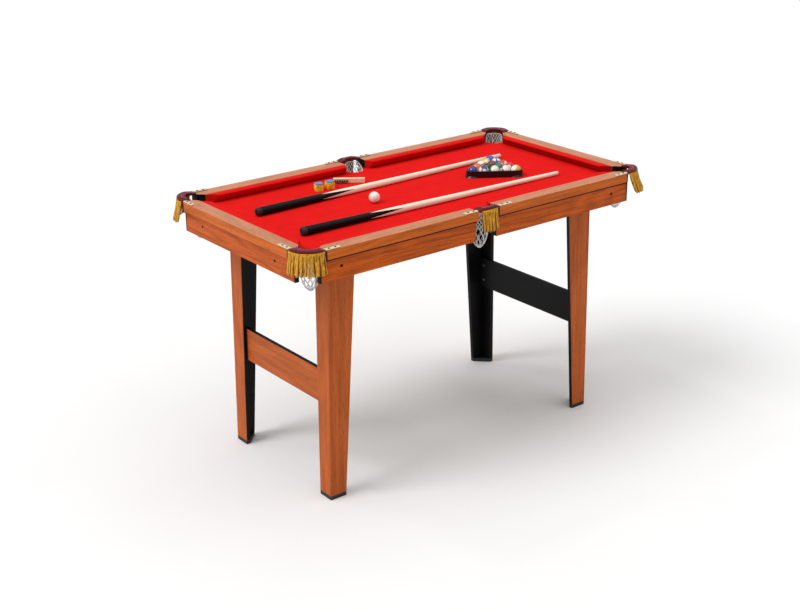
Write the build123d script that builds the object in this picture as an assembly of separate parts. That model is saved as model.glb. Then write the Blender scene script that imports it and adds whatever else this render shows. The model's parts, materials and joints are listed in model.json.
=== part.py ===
from build123d import *
import math
import os

# Mini pool table. Millimetres. X runs along the length, Y across, Z up.
# The origin is on the floor under the middle of the table.
# "left" is -X, "right" is +X, "near" is -Y and "far" is +Y.

# Overall size
TABLE_LENGTH = 1219.0
TABLE_WIDTH = 660.0
RAIL_TOP = 762.0

# Rails: six wooden caps around the playfield
RAIL_HEIGHT = 25.0
RAIL_WIDTH = 45.0
RAIL_EDGE_ROUND = 2.5
CORNER_SETBACK = 68.0
SIDE_GAP = 37.0
MOUTH_CUT_DEPTH = 30.0
MOUTH_CUT_LENGTH = 19.0

# Cushions: cloth covered rubber, a nose over an undercut face
CUSHION_DEPTH = 25.0
CUSHION_BASE = 12.0
CUSHION_TOP_DROP = 0.5
NOSE_DROP = 3.5
NOSE_BACK = 4.0
NOSE_FACE = 5.0
NOSE_UNDERCUT = 1.5
CORNER_JAW = 30.0
SIDE_JAW = 12.0
SOFT_GAP = 0.3

# Bed
BOARD_THICK = 12.0
CLOTH_THICK = 1.0
BOARD_CHAMFER = 44.0

# Aprons: boards that close the sides under the rails
APRON_THICK = 12.0
APRON_INSET = 12.0
APRON_DROP = 88.0
APRON_CORNER_GAP_X = 56.0
APRON_CORNER_GAP_Y = 58.0

# Pockets
POCKET_RADIUS = 28.0
CORNER_POCKET = 57.5
SIDE_POCKET = 40.0
SIDE_SHOULDER = 15.0
SIDE_BULGE = 2.0
COLLAR_PROUD = 2.5
COLLAR_LOW = 3.0
COLLAR_HIGH = 6.5
COLLAR_ROUND = 57.0
COLLAR_MOUTH = 50.5
TONGUE_INSET = 2.0
TONGUE_WIDTH = 9.0
TONGUE_THICK = 1.5
TONGUE_END_CORNER = 112.0
TONGUE_END_SIDE = 81.0
PLATE_LENGTH = 46.0
PLATE_WIDTH = 11.0
PLATE_THICK = 1.5
PLATE_START_CORNER = 69.0
PLATE_START_SIDE = 38.0
PLATE_INSET = 1.0
PLATE_CORNER = 3.0
SCREW_PITCH = 19.0
SCREW_HEAD = 3.2
SCREW_HEAD_HIGH = 1.2
SCREW_SHANK = 1.5
SCREW_LENGTH = 14.0
FRINGE_DROP = 62.0
FRINGE_THICK = 2.5
FRINGE_PROUD = 1.3
FRINGE_END_ANGLE = -10.0
SIDE_FRINGE_HALF = 29.0
NET_WALL = 2.0
NET_FLOOR = 4.0
NET_FLOOR_RADIUS = 2.0
NET_PROFILE = [(27.4, 752.4), (27.0, 718.0), (25.0, 692.0), (21.0, 670.0), (13.0, 651.0), (4.0, 641.0)]

# Under-frame
BATTEN_INNER = 477.2
BATTEN_THICK = 18.0
BATTEN_HIGH = 32.0
BLOCK_Y = 180.0
APRON_SCREW_Z = 708.0
APRON_SCREW_HEAD = 4.0
APRON_SCREW_SHANK = 2.2
APRON_SCREW_LENGTH = 34.0
APRON_SCREW_HEAD_HIGH = 2.0
SOCKET_RADIUS = 1.4
SOCKET_DEEP = 1.2

# Legs: two tapered boards joined in an L
LEG_TOP_X = 476.4
LEG_FOOT_X = 488.5
LEG_Y = 242.0
LEG_BOARD = 12.0
LEG_WIDE_TOP = 89.4
LEG_WIDE_FOOT = 51.5
LEG_NARROW_TOP = 59.0
LEG_NARROW_FOOT = 51.0
FOOT_HIGH = 12.0
STRETCHER_LOW = 271.5
STRETCHER_HIGH = 98.0
STRETCHER_SCREW_Y = 208.0
STRETCHER_SCREW_DZ = (-25.0, 25.0)
STRETCHER_SCREW_HEAD = 4.0
STRETCHER_SCREW_HEAD_HIGH = 2.0
STRETCHER_SCREW_LENGTH = 20.0
BOLT_SHANK = 4.0
BOLT_HEAD = 6.5
BOLT_HEAD_HIGH = 5.0
BOLT_Y = (200.0, 221.0)
BOLT_PAST_NUT = 8.0
NUT_GAP = 1.0
CLEARANCE = 0.2

# Playing pieces
BALL_DIAMETER = 32.0
BALL_GAP = 0.3
RACK_GAP = 0.4
BALL_ROWS = 5
RACK_CENTRE = (303.5, -1.7)
RACK_ANGLE = 55.5
RACK_WALL = 3.6
RACK_HIGH = 20.0
RACK_FOOT_OUT = 4.0
RACK_FOOT_HIGH = 5.0
CUE_BALL_AT = (-156.0, -19.0)
CUE_LENGTH = 914.0
CUE_BUTT = 12.0
CUE_TIP = 6.2
CUE_BUTT_ROUND = 6.0
CUE_TIP_ROUND = 2.0
CUE_START_X = -481.0
CUES = {"cue_far": (85.2, 1.55), "cue_near": (-132.4, -0.92)}
CHALK = 22.0
CHALK_EDGE = 1.5
CHALK_DISH_RADIUS = 8.0
CHALK_DISH_DEEP = 2.4
CHALKS = {"chalk_left": (-207.4, 180.6, -16.0), "chalk_right": (-169.7, 178.6, -7.0)}
BRUSH_AT = (-92.6, 189.0, -37.0)
BRUSH_LENGTH = 94.0
BRUSH_THICK = 12.0
BRUSH_HIGH = 14.0
BRUSH_EDGE = 1.5
BRISTLE_INSET = 3.0
BRISTLE_LENGTH = 42.0
BRISTLE_OUT = 10.0
BRISTLE_HIGH = 11.0
REST_GAP = 0.3

# Worked out from the sizes above
HALF_L = TABLE_LENGTH / 2
HALF_W = TABLE_WIDTH / 2
BED_TOP = RAIL_TOP - RAIL_HEIGHT
BOARD_TOP = BED_TOP - CLOTH_THICK
BOARD_LOW = BOARD_TOP - BOARD_THICK
APRON_LOW = RAIL_TOP - APRON_DROP
APRON_X = HALF_L - APRON_INSET
APRON_Y = HALF_W - APRON_INSET
BOARD_X = APRON_X - APRON_THICK
BOARD_Y = APRON_Y - APRON_THICK
RAIL_INNER_X = HALF_L - RAIL_WIDTH
RAIL_INNER_Y = HALF_W - RAIL_WIDTH
CORNER_X = HALF_L - CORNER_POCKET
CORNER_Y = HALF_W - CORNER_POCKET
SIDE_Y = HALF_W - SIDE_POCKET
COLLAR_Z0 = RAIL_TOP - COLLAR_LOW
COLLAR_Z1 = RAIL_TOP + COLLAR_HIGH
BATTEN_OUTER = BATTEN_INNER + BATTEN_THICK
BATTEN_LOW = BOARD_LOW - BATTEN_HIGH
MOUTH_INNER = CORNER_SETBACK + MOUTH_CUT_LENGTH
BALL_RADIUS = BALL_DIAMETER / 2
BALL_PITCH = BALL_DIAMETER + BALL_GAP
ON_BED = BED_TOP + REST_GAP
STANDING = (Align.CENTER, Align.CENTER, Align.MIN)
SWAP_XY = Plane(origin=(0, 0, 0), z_dir=(1, -1, 0))


def prism(points, low, high):
    """Extrude a closed outline, given in plan, from one height to another."""
    return extrude(Pos(0, 0, low) * Polygon(*points, align=None), amount=high - low, dir=(0, 0, 1))


def slab(outline, low, high):
    """Extrude a closed outline of lines and arcs from one height to another."""
    return extrude(Pos(0, 0, low) * make_face(outline), amount=high - low, dir=(0, 0, 1))


def block(x0, x1, y0, y1, z0, z1):
    """A box between two corners."""
    return Pos(x0, y0, z0) * Box(x1 - x0, y1 - y0, z1 - z0, align=(Align.MIN, Align.MIN, Align.MIN))


def quadrant(shape, sx, sy):
    """Mirror a shape made in the right, far quadrant into another quadrant."""
    if sx < 0:
        shape = mirror(shape, about=Plane.YZ)
    if sy < 0:
        shape = mirror(shape, about=Plane.XZ)
    return shape


def four(shape):
    """The four mirrored copies of a shape made in the right, far quadrant."""
    return [quadrant(shape, sx, sy) for sx in (-1, 1) for sy in (-1, 1)]


def side_pair(shape):
    """A shape made on the far side, and its mirror image on the near side."""
    return [quadrant(shape, 1, sy) for sy in (-1, 1)]


def group(shapes):
    """Several separate solids as one node."""
    return Compound(children=[solid for shape in shapes for solid in shape.solids()])


# Rails and cushions


def round_top(part, axis, radius):
    edges = part.edges().filter_by(axis).filter_by_position(Axis.Z, RAIL_TOP - 0.1, RAIL_TOP + 0.1)
    return fillet(edges, radius)


def end_rail():
    """The rail across the right end, its inner corners cut back at the pocket mouths."""
    end = HALF_W - CORNER_SETBACK
    half = [(RAIL_INNER_X, HALF_W - MOUTH_INNER), (HALF_L - MOUTH_CUT_DEPTH, end), (HALF_L, end)]
    points = half + [(x, -y) for x, y in reversed(half)]
    return round_top(prism(points, BED_TOP, RAIL_TOP), Axis.Y, RAIL_EDGE_ROUND)


def side_rail():
    """The far, right half of a long side's rail."""
    end = HALF_L - CORNER_SETBACK
    inner = [(SIDE_GAP, RAIL_INNER_Y), (HALF_L - MOUTH_INNER, RAIL_INNER_Y)]
    outer = [(end, HALF_W - MOUTH_CUT_DEPTH), (end, HALF_W), (SIDE_GAP, HALF_W)]
    points = inner + outer
    return round_top(prism(points, BED_TOP, RAIL_TOP), Axis.X, RAIL_EDGE_ROUND)


def cushion_section():
    """The cushion's section: how far it stands out of the rail, and its height."""
    base = BED_TOP + SOFT_GAP
    top = RAIL_TOP - CUSHION_TOP_DROP
    nose = RAIL_TOP - NOSE_DROP
    return [
        (SOFT_GAP, base),
        (SOFT_GAP, top),
        (CUSHION_DEPTH - NOSE_BACK, top),
        (CUSHION_DEPTH, nose),
        (CUSHION_DEPTH - NOSE_UNDERCUT, nose - NOSE_FACE),
        (CUSHION_BASE, base),
    ]


def end_cushion():
    inner = RAIL_INNER_X
    half_long = HALF_W - MOUTH_INNER
    section = Plane.XZ * Polygon(*[(inner - out, z) for out, z in cushion_section()], align=None)
    bar = extrude(section, amount=half_long, both=True)
    nose = half_long - CORNER_JAW
    half = [(inner - CUSHION_DEPTH, nose), (inner, half_long)]
    plan = half + [(x, -y) for x, y in reversed(half)]
    return bar & prism(plan, BED_TOP, RAIL_TOP)


def side_cushion():
    inner = RAIL_INNER_Y
    end = HALF_L - MOUTH_INNER
    section = Plane.YZ * Polygon(*[(inner - out, z) for out, z in cushion_section()], align=None)
    bar = Pos(SIDE_GAP, 0, 0) * extrude(section, amount=end - SIDE_GAP, dir=(1, 0, 0))
    low = inner - CUSHION_DEPTH
    plan = [(SIDE_GAP, inner), (SIDE_GAP + SIDE_JAW, low), (end - CORNER_JAW, low), (end, inner)]
    return bar & prism(plan, BED_TOP, RAIL_TOP)


# Bed


def pocket_centres():
    corners = [(sx * CORNER_X, sy * CORNER_Y) for sx in (-1, 1) for sy in (-1, 1)]
    return corners + [(0.0, SIDE_Y), (0.0, -SIDE_Y)]


def bed_layer(low, high):
    """A full layer of the bed, with its corners cut off and a notch at each pocket."""
    layer = block(-BOARD_X, BOARD_X, -BOARD_Y, BOARD_Y, low, high)
    corner = [(BOARD_X - BOARD_CHAMFER, BOARD_Y), (BOARD_X, BOARD_Y), (BOARD_X, BOARD_Y - BOARD_CHAMFER)]
    for wedge in four(prism(corner, low, high)):
        layer -= wedge
    for x, y in pocket_centres():
        layer -= Pos(x, y, (low + high) / 2) * Cylinder(POCKET_RADIUS, 4 * (high - low))
    return layer


# Aprons and under-frame


def side_apron():
    end = HALF_L - APRON_CORNER_GAP_X
    board = block(SIDE_GAP, end, APRON_Y - APRON_THICK, APRON_Y, APRON_LOW, BED_TOP)
    hole = Pos(BATTEN_INNER + BATTEN_THICK / 2, APRON_Y, APRON_SCREW_Z) * Rot(90, 0, 0)
    return board - apron_screw_hole(hole)


def end_apron():
    end = HALF_W - APRON_CORNER_GAP_Y
    board = block(APRON_X - APRON_THICK, APRON_X, -end, end, APRON_LOW, BED_TOP)
    for sy in (-1, 1):
        hole = Pos(APRON_X, sy * BLOCK_Y, APRON_SCREW_Z) * Rot(0, -90, 0)
        board -= apron_screw_hole(hole)
    return board


def screw(head_radius, head_high, shank_radius, length, spare=0.0):
    """A screw, or its clearance with some spare: the head at the origin and the shank along +Z."""
    head = Cylinder(head_radius + spare, head_high + spare, align=STANDING)
    shank = Cylinder(shank_radius + spare, length + spare, align=STANDING)
    return head + shank


def apron_screw_hole(place):
    size = (APRON_SCREW_HEAD, APRON_SCREW_HEAD_HIGH, APRON_SCREW_SHANK, APRON_SCREW_LENGTH)
    return place * screw(*size, spare=CLEARANCE)


def apron_screw(place):
    solid = screw(APRON_SCREW_HEAD, APRON_SCREW_HEAD_HIGH, APRON_SCREW_SHANK, APRON_SCREW_LENGTH)
    return place * (solid - Cylinder(SOCKET_RADIUS, SOCKET_DEEP, align=STANDING))


def apron_screws():
    side = Pos(BATTEN_INNER + BATTEN_THICK / 2, APRON_Y, APRON_SCREW_Z) * Rot(90, 0, 0)
    end = Pos(APRON_X, BLOCK_Y, APRON_SCREW_Z) * Rot(0, -90, 0)
    return group(four(apron_screw(side)) + four(apron_screw(end)))


def cross_batten():
    """The batten that carries the bed and the pair of legs at the right end."""
    batten = block(BATTEN_INNER, BATTEN_OUTER, -BOARD_Y, BOARD_Y, BATTEN_LOW, BOARD_LOW)
    for sy in (-1, 1):
        side = Pos(BATTEN_INNER + BATTEN_THICK / 2, sy * APRON_Y, APRON_SCREW_Z) * Rot(sy * 90, 0, 0)
        batten -= apron_screw_hole(side)
        for y in BOLT_Y:
            batten -= bolt_hole(sy * y)
    return batten


def end_block():
    """A short block from the batten to the end apron."""
    half = BATTEN_THICK / 2
    beam = block(BATTEN_OUTER, BOARD_X, BLOCK_Y - half, BLOCK_Y + half, BATTEN_LOW, BOARD_LOW)
    end = Pos(APRON_X, BLOCK_Y, APRON_SCREW_Z) * Rot(0, -90, 0)
    return beam - apron_screw_hole(end)


def bolt_hole(y):
    length = 4 * (BATTEN_THICK + LEG_BOARD)
    return Pos(BATTEN_INNER, y, APRON_SCREW_Z) * Rot(0, 90, 0) * Cylinder(BOLT_SHANK + CLEARANCE, length)


def leg_bolt(y):
    """A bolt through the batten and the leg, with its nut on the inside of the leg."""
    nut_x = LEG_TOP_X - LEG_BOARD - NUT_GAP
    length = BATTEN_OUTER - nut_x + BOLT_HEAD_HIGH + BOLT_PAST_NUT
    inwards = Rot(0, -90, 0)
    hexagon = extrude(RegularPolygon(BOLT_HEAD, 6), amount=BOLT_HEAD_HIGH)
    head = Pos(BATTEN_OUTER + BOLT_HEAD_HIGH, y, APRON_SCREW_Z) * inwards
    bolt = head * (hexagon + Cylinder(BOLT_SHANK, length, align=STANDING))
    return bolt + Pos(nut_x, y, APRON_SCREW_Z) * inwards * hexagon


def frame_fasteners():
    """The bolts between legs and battens, and the screws between stretchers and legs."""
    fasteners = []
    for y in BOLT_Y:
        fasteners += four(leg_bolt(y))
    for place in stretcher_screw_places():
        fasteners += four(stretcher_screw(place))
    return group(fasteners)


def leg_x(z):
    """The leg's outer face: it splays out slightly towards the floor."""
    return LEG_FOOT_X + (LEG_TOP_X - LEG_FOOT_X) * z / BOARD_LOW


def leg_wide(z):
    return LEG_WIDE_FOOT + (LEG_WIDE_TOP - LEG_WIDE_FOOT) * z / BOARD_LOW


def leg_narrow(z):
    return LEG_NARROW_FOOT + (LEG_NARROW_TOP - LEG_NARROW_FOOT) * z / BOARD_LOW


def leg():
    """The right, far leg: a wide board along the side and a narrow one across the end."""
    low, top = FOOT_HIGH, BOARD_LOW
    outline = [(leg_x(low), low), (leg_x(top), top)]
    outline += [(leg_x(top) - leg_wide(top), top), (leg_x(low) - leg_wide(low), low)]
    wide = extrude(Plane.XZ * Polygon(*outline, align=None), amount=LEG_BOARD, dir=(0, 1, 0))
    wide = Pos(0, LEG_Y - LEG_BOARD, 0) * wide
    face = LEG_Y - LEG_BOARD
    end = [(face, low), (face, top), (LEG_Y - leg_narrow(top), top), (LEG_Y - leg_narrow(low), low)]
    narrow = extrude(Plane.YZ * Polygon(*end, align=None), amount=TABLE_LENGTH, dir=(1, 0, 0))
    lean = [(leg_x(low), low), (leg_x(top), top)]
    lean += [(leg_x(top) - LEG_BOARD, top), (leg_x(low) - LEG_BOARD, low)]
    narrow &= extrude(Plane.XZ * Polygon(*lean, align=None), amount=TABLE_WIDTH, both=True)
    for y in BOLT_Y:
        narrow -= bolt_hole(y)
    for place in stretcher_screw_places():
        narrow -= stretcher_screw(place, CLEARANCE)
    return group([wide, narrow])


def leg_foot():
    """The plastic foot under a leg, with its inner corner filled on the diagonal."""
    x, y = leg_x(FOOT_HIGH), LEG_Y
    wide, narrow = leg_wide(FOOT_HIGH), leg_narrow(FOOT_HIGH)
    points = [(x, y), (x - wide, y), (x - wide, y - LEG_BOARD), (x - LEG_BOARD, y - narrow), (x, y - narrow)]
    return prism(points, 0, FOOT_HIGH)


def stretcher_face():
    """The stretcher's outer face lies against the inside of the legs' end boards."""
    return leg_x(STRETCHER_LOW + STRETCHER_HIGH) - LEG_BOARD - CLEARANCE


def stretcher():
    """The board between the two legs at the right end."""
    half = LEG_Y - LEG_BOARD - CLEARANCE
    face = stretcher_face()
    board = block(face - LEG_BOARD, face, -half, half, STRETCHER_LOW, STRETCHER_LOW + STRETCHER_HIGH)
    for sy in (-1, 1):
        for place in stretcher_screw_places():
            board -= quadrant(stretcher_screw(place, CLEARANCE), 1, sy)
    return board


def stretcher_screw_places():
    middle = STRETCHER_LOW + STRETCHER_HIGH / 2
    x = stretcher_face() - LEG_BOARD
    return [Pos(x, STRETCHER_SCREW_Y, middle + dz) * Rot(0, 90, 0) for dz in STRETCHER_SCREW_DZ]


def stretcher_screw(place, spare=0.0):
    """A screw from inside, through the stretcher into the leg, or its clearance with some spare."""
    size = (STRETCHER_SCREW_HEAD, STRETCHER_SCREW_HEAD_HIGH, SCREW_SHANK, STRETCHER_SCREW_LENGTH)
    return place * screw(*size, spare=spare)


# Pockets


def corner_collar():
    """The leather collar at the right, far corner, with a tongue along each rail."""
    away = CORNER_SETBACK - CLEARANCE
    centre = COLLAR_ROUND - COLLAR_PROUD
    mouth = COLLAR_MOUTH - math.sqrt(POCKET_RADIUS**2 - (away - COLLAR_MOUTH) ** 2)
    inner_mid = COLLAR_MOUTH - POCKET_RADIUS * math.sqrt(0.5)
    outer_end = centre - math.sqrt(COLLAR_ROUND**2 - (centre - away) ** 2)
    outer_mid = centre - COLLAR_ROUND * math.sqrt(0.5)
    outline = [
        Line((outer_end, away), (mouth, away)),
        ThreePointArc((mouth, away), (inner_mid, inner_mid), (away, mouth)),
        Line((away, mouth), (away, outer_end)),
        ThreePointArc((away, outer_end), (outer_mid, outer_mid), (outer_end, away)),
    ]
    body = slab(Curve() + outline, COLLAR_Z0, COLLAR_Z1)
    strap = tongue(away, TONGUE_END_CORNER)
    return into_corner(body + strap + mirror(strap, about=SWAP_XY))


def tongue(start, end):
    """A strap end that lies on a rail under its plate. It runs along +X."""
    return block(start, end, TONGUE_INSET, TONGUE_INSET + TONGUE_WIDTH, RAIL_TOP, RAIL_TOP + TONGUE_THICK)


def into_corner(shape):
    """Move a shape drawn from a corner inwards to the right, far corner."""
    return Pos(HALF_L, HALF_W, 0) * Rot(0, 0, 180) * shape


def side_collar():
    """The leather collar at the far side pocket."""
    half = SIDE_GAP - CLEARANCE
    shoulder = SIDE_Y + SIDE_SHOULDER
    inner_x = math.sqrt(POCKET_RADIUS**2 - (shoulder - SIDE_Y) ** 2)
    outer = HALF_W + COLLAR_PROUD
    outline = [
        Line((-half, shoulder), (-inner_x, shoulder)),
        ThreePointArc((-inner_x, shoulder), (0, SIDE_Y + POCKET_RADIUS), (inner_x, shoulder)),
        Line((inner_x, shoulder), (half, shoulder)),
        Line((half, shoulder), (half, outer)),
        ThreePointArc((half, outer), (0, outer + SIDE_BULGE), (-half, outer)),
        Line((-half, outer), (-half, shoulder)),
    ]
    body = slab(Curve() + outline, COLLAR_Z0, COLLAR_Z1)
    strap = Pos(0, HALF_W, 0) * mirror(tongue(SIDE_GAP - CLEARANCE, TONGUE_END_SIDE), about=Plane.XZ)
    return body + strap + mirror(strap, about=Plane.YZ)


def plate():
    """A plate drawn along +X from its pocket end, its outer edge on the X axis."""
    flat = Pos(PLATE_LENGTH / 2, PLATE_WIDTH / 2) * RectangleRounded(PLATE_LENGTH, PLATE_WIDTH, PLATE_CORNER)
    body = extrude(flat, amount=PLATE_THICK)
    for x in screw_spots():
        body -= Pos(x, PLATE_WIDTH / 2, 0) * Cylinder(SCREW_SHANK + CLEARANCE, 3 * PLATE_THICK)
    return body


def screw_spots():
    middle = PLATE_LENGTH / 2
    return (middle - SCREW_PITCH / 2, middle + SCREW_PITCH / 2)


def plate_screw_pair():
    head = Pos(0, 0, PLATE_THICK) * Cylinder(SCREW_HEAD, SCREW_HEAD_HIGH, align=STANDING)
    shank = Pos(0, 0, PLATE_THICK - SCREW_LENGTH) * Cylinder(SCREW_SHANK, SCREW_LENGTH, align=STANDING)
    return group([Pos(x, PLATE_WIDTH / 2, 0) * (head + shank) for x in screw_spots()])


def at_plates(shape):
    """Copies of a shape made for one plate, at all twelve plates."""
    lifted = Pos(0, PLATE_INSET, RAIL_TOP + TONGUE_THICK) * shape
    along_side = into_corner(Pos(PLATE_START_CORNER, 0, 0) * lifted)
    along_end = into_corner(mirror(Pos(PLATE_START_CORNER, 0, 0) * lifted, about=SWAP_XY))
    at_side = Pos(0, HALF_W, 0) * mirror(Pos(PLATE_START_SIDE, 0, 0) * lifted, about=Plane.XZ)
    return four(along_side) + four(along_end) + four(at_side)


def screw_wells():
    """The holes that the plate screws need in collars and rails."""
    hole = Cylinder(SCREW_SHANK + CLEARANCE, 2 * SCREW_LENGTH)
    pair = group([Pos(x, PLATE_WIDTH / 2, 0) * hole for x in screw_spots()])
    return [solid for shape in at_plates(pair) for solid in shape.solids()]


def corner_fringe():
    centre = COLLAR_ROUND - COLLAR_PROUD
    outer = COLLAR_ROUND + FRINGE_PROUD
    inner = outer - FRINGE_THICK
    mid = math.radians(45)
    sweep = mid - math.radians(FRINGE_END_ANGLE)
    top = COLLAR_Z0 - SOFT_GAP

    def spot(radius, angle):
        return (centre - radius * math.cos(angle), centre - radius * math.sin(angle))

    outline = [
        ThreePointArc(spot(outer, mid - sweep), spot(outer, mid), spot(outer, mid + sweep)),
        Line(spot(outer, mid + sweep), spot(inner, mid + sweep)),
        ThreePointArc(spot(inner, mid + sweep), spot(inner, mid), spot(inner, mid - sweep)),
        Line(spot(inner, mid - sweep), spot(outer, mid - sweep)),
    ]
    return into_corner(slab(Curve() + outline, top - FRINGE_DROP, top))


def side_fringe():
    half = SIDE_FRINGE_HALF
    outer = HALF_W + COLLAR_PROUD + 1.0
    inner = outer - FRINGE_THICK
    top = COLLAR_Z0 - SOFT_GAP
    outline = [
        Line((-half, inner), (-half, outer)),
        ThreePointArc((-half, outer), (0, outer + SIDE_BULGE), (half, outer)),
        Line((half, outer), (half, inner)),
        ThreePointArc((half, inner), (0, inner + SIDE_BULGE), (-half, inner)),
    ]
    return slab(Curve() + outline, top - FRINGE_DROP, top)


def net():
    """A string bag as a plain closed-bottomed cup, open at the top."""
    low = NET_PROFILE[-1][1]
    floor = [(0.0, low), (0.0, low + NET_FLOOR), (NET_FLOOR_RADIUS, low + NET_FLOOR)]
    inner = [(radius - NET_WALL, z) for radius, z in reversed(NET_PROFILE[:-1])]
    points = NET_PROFILE + floor + inner
    return revolve(Plane.XZ * Polygon(*points, align=None), Axis.Z, 360)


def nets():
    return group([Pos(x, y, 0) * net() for x, y in pocket_centres()])


# Playing pieces


def ball(x, y):
    return Pos(x, y, ON_BED + BALL_RADIUS) * Sphere(BALL_RADIUS)


def rack_spots():
    """Ball centres in the rack, from the front ball to the back row of five."""
    height = (BALL_ROWS - 1) * BALL_PITCH * math.sqrt(0.75)
    forward = math.radians(RACK_ANGLE)
    spots = []
    for row in range(BALL_ROWS):
        ahead = height * 2 / 3 - row * BALL_PITCH * math.sqrt(0.75)
        for place in range(row + 1):
            across = (place - row / 2) * BALL_PITCH
            x = RACK_CENTRE[0] + ahead * math.cos(forward) + across * math.sin(forward)
            y = RACK_CENTRE[1] + ahead * math.sin(forward) - across * math.cos(forward)
            spots.append((x, y))
    return spots


def rack():
    """A triangular frame that holds fifteen balls, with flared feet at its corners."""
    spots = rack_spots()
    corners = [spots[0], spots[-BALL_ROWS], spots[-1]]
    inner_round = BALL_RADIUS + RACK_GAP
    triangle = Polygon(*corners, align=None)
    inner = offset(triangle, amount=inner_round, kind=Kind.ARC)
    outer = offset(triangle, amount=inner_round + RACK_WALL, kind=Kind.ARC)
    frame = extrude(Pos(0, 0, ON_BED) * (outer - inner), amount=RACK_HIGH)
    hollow = extrude(Pos(0, 0, ON_BED - 1) * inner, amount=RACK_HIGH + 2)
    base = inner_round + RACK_WALL
    foot = Cone(base + RACK_FOOT_OUT, base, RACK_FOOT_HIGH, align=STANDING)
    for x, y in corners:
        frame += Pos(x, y, ON_BED) * foot - hollow
    return frame


def cue(y, turn):
    """A tapered cue lying on the cloth, butt to the left."""
    slope = math.degrees(math.asin((CUE_BUTT - CUE_TIP) / CUE_LENGTH))
    butt = (CUE_BUTT_ROUND, CUE_BUTT)
    tip = (CUE_LENGTH - CUE_TIP_ROUND, CUE_TIP)
    end = (CUE_LENGTH, CUE_TIP - CUE_TIP_ROUND)
    outline = [
        Line((0, 0), (0, CUE_BUTT - CUE_BUTT_ROUND)),
        RadiusArc((0, CUE_BUTT - CUE_BUTT_ROUND), butt, CUE_BUTT_ROUND),
        Line(butt, tip),
        RadiusArc(tip, end, CUE_TIP_ROUND),
        Line(end, (CUE_LENGTH, 0)),
        Line((CUE_LENGTH, 0), (0, 0)),
    ]
    stick = revolve(make_face(Curve() + outline), Axis.X, 360)
    return Pos(CUE_START_X, y, ON_BED + CUE_BUTT) * Rot(0, 0, turn) * Rot(0, slope, 0) * stick


def chalk(x, y, turn):
    cube = Box(CHALK, CHALK, CHALK, align=STANDING)
    cube = fillet(cube.edges().filter_by(Axis.Z), CHALK_EDGE)
    ball_radius = (CHALK_DISH_RADIUS**2 + CHALK_DISH_DEEP**2) / (2 * CHALK_DISH_DEEP)
    dish = Pos(0, 0, CHALK - CHALK_DISH_DEEP + ball_radius) * Sphere(ball_radius)
    return Pos(x, y, ON_BED) * Rot(0, 0, turn) * (cube - dish)


def brush_handle():
    x, y, turn = BRUSH_AT
    bar = Box(BRUSH_LENGTH, BRUSH_THICK, BRUSH_HIGH, align=STANDING)
    return Pos(x, y, ON_BED) * Rot(0, 0, turn) * fillet(bar.edges(), BRUSH_EDGE)


def brush_bristles():
    x, y, turn = BRUSH_AT
    start = -BRUSH_LENGTH / 2 + BRISTLE_INSET
    face = -BRUSH_THICK / 2
    low = (BRUSH_HIGH - BRISTLE_HIGH) / 2
    tuft = block(start, start + BRISTLE_LENGTH, face - BRISTLE_OUT, face, low, low + BRISTLE_HIGH)
    return Pos(x, y, ON_BED) * Rot(0, 0, turn) * tuft


def build():
    wells = screw_wells()

    def drilled(shape):
        box = shape.bounding_box()
        for well in wells:
            spot = well.center()
            if box.min.X < spot.X < box.max.X and box.min.Y < spot.Y < box.max.Y:
                shape -= well
        return shape

    ends = {"left": -1, "right": 1}
    sides = {"near": -1, "far": 1}
    nodes = {}
    nodes["bed_board"] = bed_layer(BOARD_LOW, BOARD_TOP)
    nodes["bed_cloth"] = bed_layer(BOARD_TOP, BED_TOP)
    for end, sx in ends.items():
        nodes[f"rail_{end}_end"] = drilled(quadrant(end_rail(), sx, 1))
        nodes[f"cushion_{end}_end"] = quadrant(end_cushion(), sx, 1)
        nodes[f"apron_{end}_end"] = quadrant(end_apron(), sx, 1)
        nodes[f"cross_batten_{end}"] = quadrant(cross_batten(), sx, 1)
        nodes[f"stretcher_{end}"] = quadrant(stretcher(), sx, 1)
        for side, sy in sides.items():
            nodes[f"rail_{side}_{end}"] = drilled(quadrant(side_rail(), sx, sy))
            nodes[f"cushion_{side}_{end}"] = quadrant(side_cushion(), sx, sy)
            nodes[f"apron_{side}_{end}"] = quadrant(side_apron(), sx, sy)
            nodes[f"leg_{side}_{end}"] = quadrant(leg(), sx, sy)
    nodes["end_blocks"] = group(four(end_block()))
    nodes["leg_feet"] = group(four(leg_foot()))
    nodes["frame_fasteners"] = frame_fasteners()
    nodes["apron_screws"] = apron_screws()
    collars = four(corner_collar()) + side_pair(side_collar())
    nodes["pocket_collars"] = group([drilled(shape) for shape in collars])
    nodes["collar_plates"] = group(at_plates(plate()))
    nodes["plate_screws"] = group(at_plates(plate_screw_pair()))
    nodes["pocket_fringes"] = group(four(corner_fringe()) + side_pair(side_fringe()))
    nodes["pocket_nets"] = nets()
    for number, (x, y) in enumerate(rack_spots(), start=1):
        nodes[f"ball_{number:02d}"] = ball(x, y)
    nodes["cue_ball"] = ball(*CUE_BALL_AT)
    nodes["rack"] = rack()
    for name, (y, turn) in CUES.items():
        nodes[name] = cue(y, turn)
    for name, (x, y, turn) in CHALKS.items():
        nodes[name] = chalk(x, y, turn)
    nodes["brush_handle"] = brush_handle()
    nodes["brush_bristles"] = brush_bristles()
    return nodes


os.makedirs("parts", exist_ok=True)
for name, shape in build().items():
    export_step(shape, f"parts/{name}.step")
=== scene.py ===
import json
import math
import random

import bpy
from mathutils import Euler, Matrix, Vector

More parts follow.
